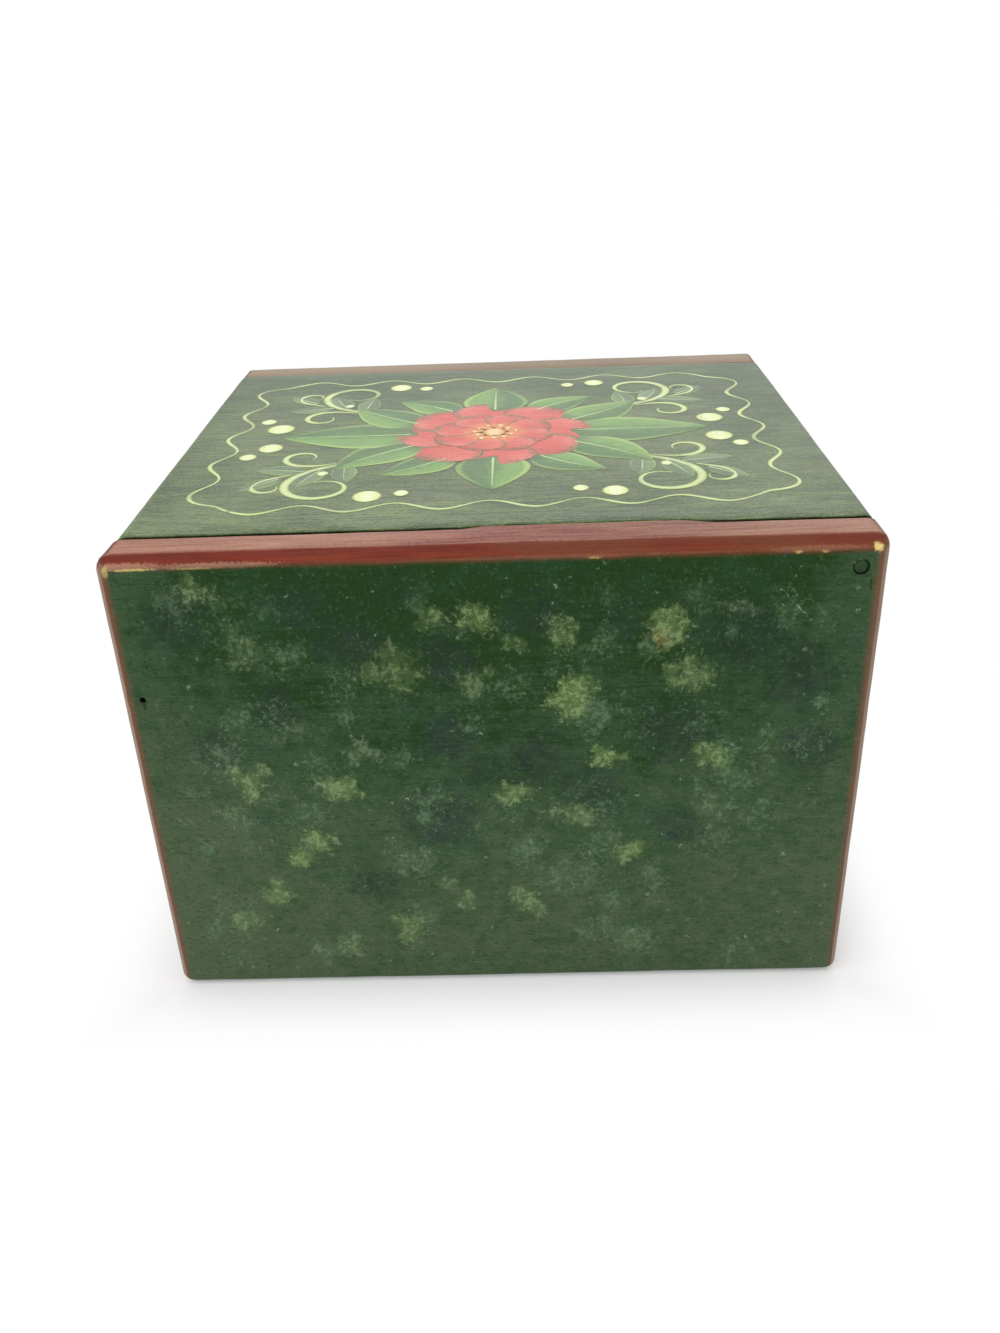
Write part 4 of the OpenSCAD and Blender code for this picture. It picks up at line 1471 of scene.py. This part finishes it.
class CARDBOX_OT_lid_flower(bpy.types.Operator):
    """Paints the flower in the middle of the lid: two rings of petals round a raised middle"""

    bl_idname = "cardbox.lid_flower"
    bl_label = "Lid flower"

    def execute(self, context):
        design = context.scene.card_box_design
        paint = context.scene.card_box_paint
        draw = random.Random(3)
        reach = design.flower_radius / MM
        # Start, end, half width (mm) and lift of each ring of petals
        rings = ((5.0, reach, 10.5, 1.0), (2.5, reach * 0.6, 6.6, 3.0))
        petals = Strokes(design.film)
        for ring, (near, far, broad, lift) in enumerate(rings):
            for index in range(design.petals):
                angle = 360 * (index + 0.5 * ring) / design.petals + draw.uniform(-2, 2)
                points = radial(angle, near, far * draw.uniform(0.96, 1.03), 18, 5.0)
                width = bulge(broad * draw.uniform(0.94, 1.05), 1.35, 0.7)
                petals.lay(points, width, lift, draw.random(), rows=8, slope=1.2)
        petals.finish(context, "flower_petals", shared_material("Petal paint", petal_paint, paint, design))
        middle = Strokes(design.film)
        middle.dot(Vector((0.0, 0.0)), 3.0, 5.0, draw.random())
        for index in range(11):
            turn = 2 * math.pi * index / 11
            spot = Vector((math.cos(turn), math.sin(turn))) * draw.uniform(4.6, 5.8)
            middle.dot(spot, draw.uniform(0.7, 1.1), 5.5, draw.random())
        yellow = shared_material("Flower middle paint", line_paint, paint, design.middle, 1.0)
        middle.finish(context, "flower_middle", yellow)
        return {"FINISHED"}


class CARDBOX_OT_lid_leaves(bpy.types.Operator):
    """Paints the two-toned leaves round the flower, with pale veins"""

    bl_idname = "cardbox.lid_leaves"
    bl_label = "Lid leaves"

    # Heading from the middle, start, end, half width (mm) and bend of each leaf
    leaves = (
        (90, 18, 55, 11.5, 0.0), (66, 20, 46, 8.5, -10.0), (114, 20, 46, 8.5, 10.0),
        (0, 18, 43, 10.0, 0.0), (29, 21, 41, 7.0, 12.0), (-29, 21, 41, 7.0, -12.0),
    )
    # Base (mm from the lid's middle), heading, length and half width of the small leaves along the scrolls
    sprigs = (
        ((25, 41), 20, 14, 3.4), ((22, 36), -8, 14, 3.2), ((27, 44), 100, 14, 3.4), ((31, 50), 45, 12, 2.8),
    )

    def execute(self, context):
        design = context.scene.card_box_design
        paint = context.scene.card_box_paint
        draw = random.Random(4)
        leaves, sprigs, veins = [Strokes(design.film) for _ in range(3)]
        for heading, near, far, broad, bend in self.leaves:
            for half_turn in (0, 180):
                points = radial(heading + half_turn, near, far, 20, bend)
                lift = 0.6 if broad < 8 else 1.4
                leaves.lay(points, bulge(broad, 0.8, 0.85, 0.25), lift, draw.random(), rows=8, slope=0.4)
                veins.lay(points[2:-2], tapering(0.42), lift + 1.6, draw.random(), rows=2)
        for start, heading, run, broad in self.sprigs:
            line = curl(start, heading, run, 1.5, -3.0, 14)
            for flips in FOUR_WAYS:
                points = mirrored(line, *flips)
                sprigs.lay(points, bulge(broad, 0.85, 0.9), 0.2, draw.random(), rows=6)
                veins.lay(points[1:-2], tapering(0.3), 1.0, draw.random(), rows=2)
        leaf_tones = (design.leaf_dark, design.leaf_light, design.leaf_edge)
        sprig_tones = (design.sprig_dark, design.sprig_light, design.leaf_edge)
        leaf = shared_material("Leaf paint", leaf_paint, paint, *leaf_tones, 0.92)
        sprig = shared_material("Sprig paint", leaf_paint, paint, *sprig_tones, 0.62)
        vein = shared_material("Leaf vein paint", line_paint, paint, design.leaf_edge, 0.6)
        leaves.finish(context, "lid_leaves", leaf)
        sprigs.finish(context, "scroll_leaves", sprig)
        veins.finish(context, "leaf_veins", vein)
        return {"FINISHED"}


class CARDBOX_OT_lid_scrolls(bpy.types.Operator):
    """Paints the pale scrolls and the wavy border line"""

    bl_idname = "cardbox.lid_scrolls"
    bl_label = "Lid scrolls and border"

    # Start (mm from the lid's middle), heading, length, first and last turn (degrees per mm) and width factor
    scrolls = (
        ((17, 25), 62, 66, 1.6, -12.5, 1.25),
        ((21, 38), 62, 30, 2.0, 20.0, 0.95),
        ((29, 48), 62, 23, 2.0, -26.0, 0.85),
    )
    # Rounding of the border's corners in mm, and the number of its waves
    corner = 9.0
    waves = 22

    def execute(self, context):
        design = context.scene.card_box_design
        paint = context.scene.card_box_paint
        material = shared_material("Line paint", line_paint, paint, design.line, 0.6)
        draw = random.Random(6)
        width = design.line_width / MM / 2
        scrolls = Strokes(design.film)
        for start, heading, run, first_turn, last_turn, factor in self.scrolls:
            line = curl(start, heading, run, first_turn, last_turn, 60)
            half_width = self.scroll_width(width * factor)
            for flips in FOUR_WAYS:
                scrolls.lay(mirrored(line, *flips), half_width, 0.3, draw.random(), rows=3)
        scrolls.finish(context, "lid_scrolls", material)
        border = Strokes(design.film)
        border.lay(
            self.border_points(design), lambda share: width * (0.85 + 0.25 * math.sin(46 * math.pi * share)),
            0.2, 0.5, rows=2, closed=True)
        border.finish(context, "lid_border", material)
        return {"FINISHED"}

    def scroll_width(self, width):
        """Half width in mm of a scroll, broadest before its middle, as a function of the share along it."""
        return lambda share: width * (0.35 + 1.3 * math.sin(math.pi * min(share * 1.05, 1.0)) ** 0.8)

    def border_points(self, design):
        """A closed wavy line that follows the lid's outline."""
        inset = design.border_inset / MM
        halves = [size / 2 / MM - inset for size in (LID_HIGH - LID_LOW).xy]
        straights = [2 * (half - self.corner) for half in halves]
        whole = 2 * sum(straights) + 2 * math.pi * self.corner
        steps = 24 * self.waves
        points = []
        for index in range(steps + 1):
            run = whole * index / steps
            middle, out = self.on_outline(run % whole, halves, straights)
            swing = design.border_wave / MM * math.sin(2 * math.pi * self.waves * index / steps)
            points.append(middle + out * swing)
        return points

    def on_outline(self, run, halves, straights):
        """The point at a distance along a rounded rectangle, and the direction out of it."""
        arc = math.pi / 2 * self.corner
        for quarter in range(4):
            heading = math.radians(90 * quarter)
            out = Vector((math.cos(heading), math.sin(heading)))
            ahead = Vector((-out.y, out.x))
            reach, straight = halves[quarter % 2], straights[1 - quarter % 2]
            start = out * reach - ahead * straight / 2
            if run <= straight:
                return start + ahead * run, out
            run -= straight
            if run <= arc or quarter == 3:
                centre = start + ahead * straight - out * self.corner
                angle = heading + run / self.corner
                out = Vector((math.cos(angle), math.sin(angle)))
                return centre + out * self.corner, out
            run -= arc


class CARDBOX_OT_lid_dots(bpy.types.Operator):
    """Paints the round pale dots beside the scrolls"""

    bl_idname = "cardbox.lid_dots"
    bl_label = "Lid dots"

    # Place from the lid's middle and radius, in mm
    dots = ((8, 57, 3.6), (14.5, 61, 2.2), (45.5, 28, 3.2), (44, 20.5, 2.0), (28, 41, 1.5))

    def execute(self, context):
        design = context.scene.card_box_design
        material = shared_material("Dot paint", line_paint, context.scene.card_box_paint, design.dot, 1.0)
        draw = random.Random(9)
        strokes = Strokes(design.film * 1.6)
        for x, y, radius in self.dots:
            for flip_x, flip_y in FOUR_WAYS:
                size = radius * draw.uniform(0.9, 1.1)
                right = x * flip_x + draw.uniform(-0.5, 0.5)
                back = y * flip_y + draw.uniform(-0.5, 0.5)
                strokes.dot(Vector((right, back)), size, 0.5, draw.random())
        strokes.finish(context, "lid_dots", material)
        return {"FINISHED"}


class CARDBOX_OT_stage(bpy.types.Operator):
    """Sets up the floor, the white surroundings, two soft lamps and the camera"""

    bl_idname = "cardbox.stage"
    bl_label = "Stage"

    def execute(self, context):
        look = context.scene.card_box_stage
        self.floor(context, look)
        self.surroundings(context, look)
        self.lamp(context, "key_lamp", *KEY_LAMP, look.key_power)
        self.lamp(context, "back_lamp", *BACK_LAMP, look.back_power)
        self.camera(context, look)
        context.scene.view_settings.view_transform = "Standard"
        return {"FINISHED"}

    def floor(self, context, look):
        """A pale floor that keeps the shadow near the box and turns plain white further out."""
        bm = bmesh.new()
        bmesh.ops.create_circle(bm, cap_ends=True, segments=64, radius=FLOOR_RADIUS)
        mesh = bpy.data.meshes.new("floor")
        bm.to_mesh(mesh)
        bm.free()
        material, b, shader = start_material("Floor")
        shader.inputs["Base Color"].default_value = (look.floor_grey, look.floor_grey, look.floor_grey, 1.0)
        shader.inputs["Roughness"].default_value = 0.9
        white = b.node("ShaderNodeEmission", {"Color": WHITE, "Strength": 1.0})
        axes = b.axes(b.place())
        beside_x = b.add(b.size_of(axes[0]), -cad_box[1].x / MM)
        beside_y = b.add(b.size_of(axes[1]), -cad_box[1].y / MM)
        distance = b.most(beside_x, beside_y)
        far = b.times(b.smooth(distance, -10.0, 22.0), self.seen(b))
        both = b.node("ShaderNodeMixShader", {0: far, 1: shader.outputs[0], 2: white.outputs[0]})
        output = next(node for node in material.node_tree.nodes if node.type == "OUTPUT_MATERIAL")
        b.put(both.outputs[0], output.inputs["Surface"])
        mesh.materials.append(material)
        floor = bpy.data.objects.new("floor", mesh)
        context.scene.collection.objects.link(floor)

    def seen(self, b):
        """1 for rays that show a surface to the camera, straight or by way of gloss or glass."""
        rays = b.node("ShaderNodeLightPath").outputs
        return b.most(rays["Is Camera Ray"], rays["Is Glossy Ray"], rays["Is Transmission Ray"])

    def surroundings(self, context, look):
        """White all round for what is seen, and an even light for the rest."""
        world = bpy.data.worlds.new("Studio")
        context.scene.world = world
        world.use_nodes = True
        world.node_tree.nodes.clear()
        b = NodeBuilder(world.node_tree)
        strength = b.between(self.seen(b), look.sky, 1.0)
        sky = b.node("ShaderNodeBackground", {"Color": WHITE, "Strength": strength})
        b.node("ShaderNodeOutputWorld", {"Surface": sky.outputs[0]})

    def lamp(self, context, name, place, size, power):
        """One soft square lamp that points at the box."""
        data = bpy.data.lights.new(name, "AREA")
        data.shape = "SQUARE"
        data.size = size
        data.energy = power
        lamp = bpy.data.objects.new(name, data)
        lamp.location = place
        aim = LAMP_AIM - Vector(place)
        lamp.rotation_euler = aim.to_track_quat("-Z", "Y").to_euler()
        context.scene.collection.objects.link(lamp)

    def camera(self, context, look):
        """The camera at the photograph's angle."""
        data = bpy.data.cameras.new("camera")
        data.lens = look.lens
        data.sensor_width = 36.0
        data.clip_start = 0.01
        camera = bpy.data.objects.new("camera", data)
        level = math.cos(look.camera_elevation)
        forward = Vector((
            -level * math.cos(look.camera_azimuth), -level * math.sin(look.camera_azimuth),
            -math.sin(look.camera_elevation)))
        turn = Matrix.Rotation(look.camera_roll, 4, "Z")
        upright = forward.to_track_quat("-Z", "Y").to_matrix().to_4x4()
        camera.matrix_world = Matrix.Translation(look.camera_place) @ upright @ turn
        context.scene.collection.objects.link(camera)
        context.scene.camera = camera


OPERATORS = (
    CARDBOX_OT_end_boards, CARDBOX_OT_wall_boards, CARDBOX_OT_bottom_board, CARDBOX_OT_lid_board,
    CARDBOX_OT_pins_and_nails, CARDBOX_OT_lid_flower, CARDBOX_OT_lid_leaves, CARDBOX_OT_lid_scrolls,
    CARDBOX_OT_lid_dots, CARDBOX_OT_stage,
)
SETTINGS = {
    "card_box_sizes": BoardSizes, "card_box_paint": PaintColours, "card_box_design": LidDesign,
    "card_box_stage": StageLook,
}


class CARDBOX_PT_panel(bpy.types.Panel):
    """Lists the steps that build the box, and their settings"""

    bl_idname = "CARDBOX_PT_panel"
    bl_label = "Recipe card box"
    bl_space_type = "VIEW_3D"
    bl_region_type = "UI"
    bl_category = "Card box"

    def draw(self, context):
        for operator in OPERATORS:
            self.layout.operator(operator.bl_idname)
        for name, group in SETTINGS.items():
            box = self.layout.box()
            for field in group.__annotations__:
                box.prop(getattr(context.scene, name), field)


CLASSES = (*SETTINGS.values(), *OPERATORS, CARDBOX_PT_panel)


def register():
    """Registers the classes and puts the settings on the scene."""
    for item in CLASSES:
        bpy.utils.register_class(item)
    for name, group in SETTINGS.items():
        setattr(bpy.types.Scene, name, PointerProperty(type=group))


def unregister():
    """Takes the settings and the classes away again."""
    for name in SETTINGS:
        delattr(bpy.types.Scene, name)
    for item in reversed(CLASSES):
        bpy.utils.unregister_class(item)


def main():
    """Builds everything in order."""
    register()
    bpy.ops.cardbox.end_boards()
    bpy.ops.cardbox.wall_boards()
    bpy.ops.cardbox.bottom_board()
    bpy.ops.cardbox.lid_board()
    bpy.ops.cardbox.pins_and_nails()
    bpy.ops.cardbox.lid_flower()
    bpy.ops.cardbox.lid_leaves()
    bpy.ops.cardbox.lid_scrolls()
    bpy.ops.cardbox.lid_dots()
    bpy.ops.cardbox.stage()


if __name__ == "__main__":
    main()
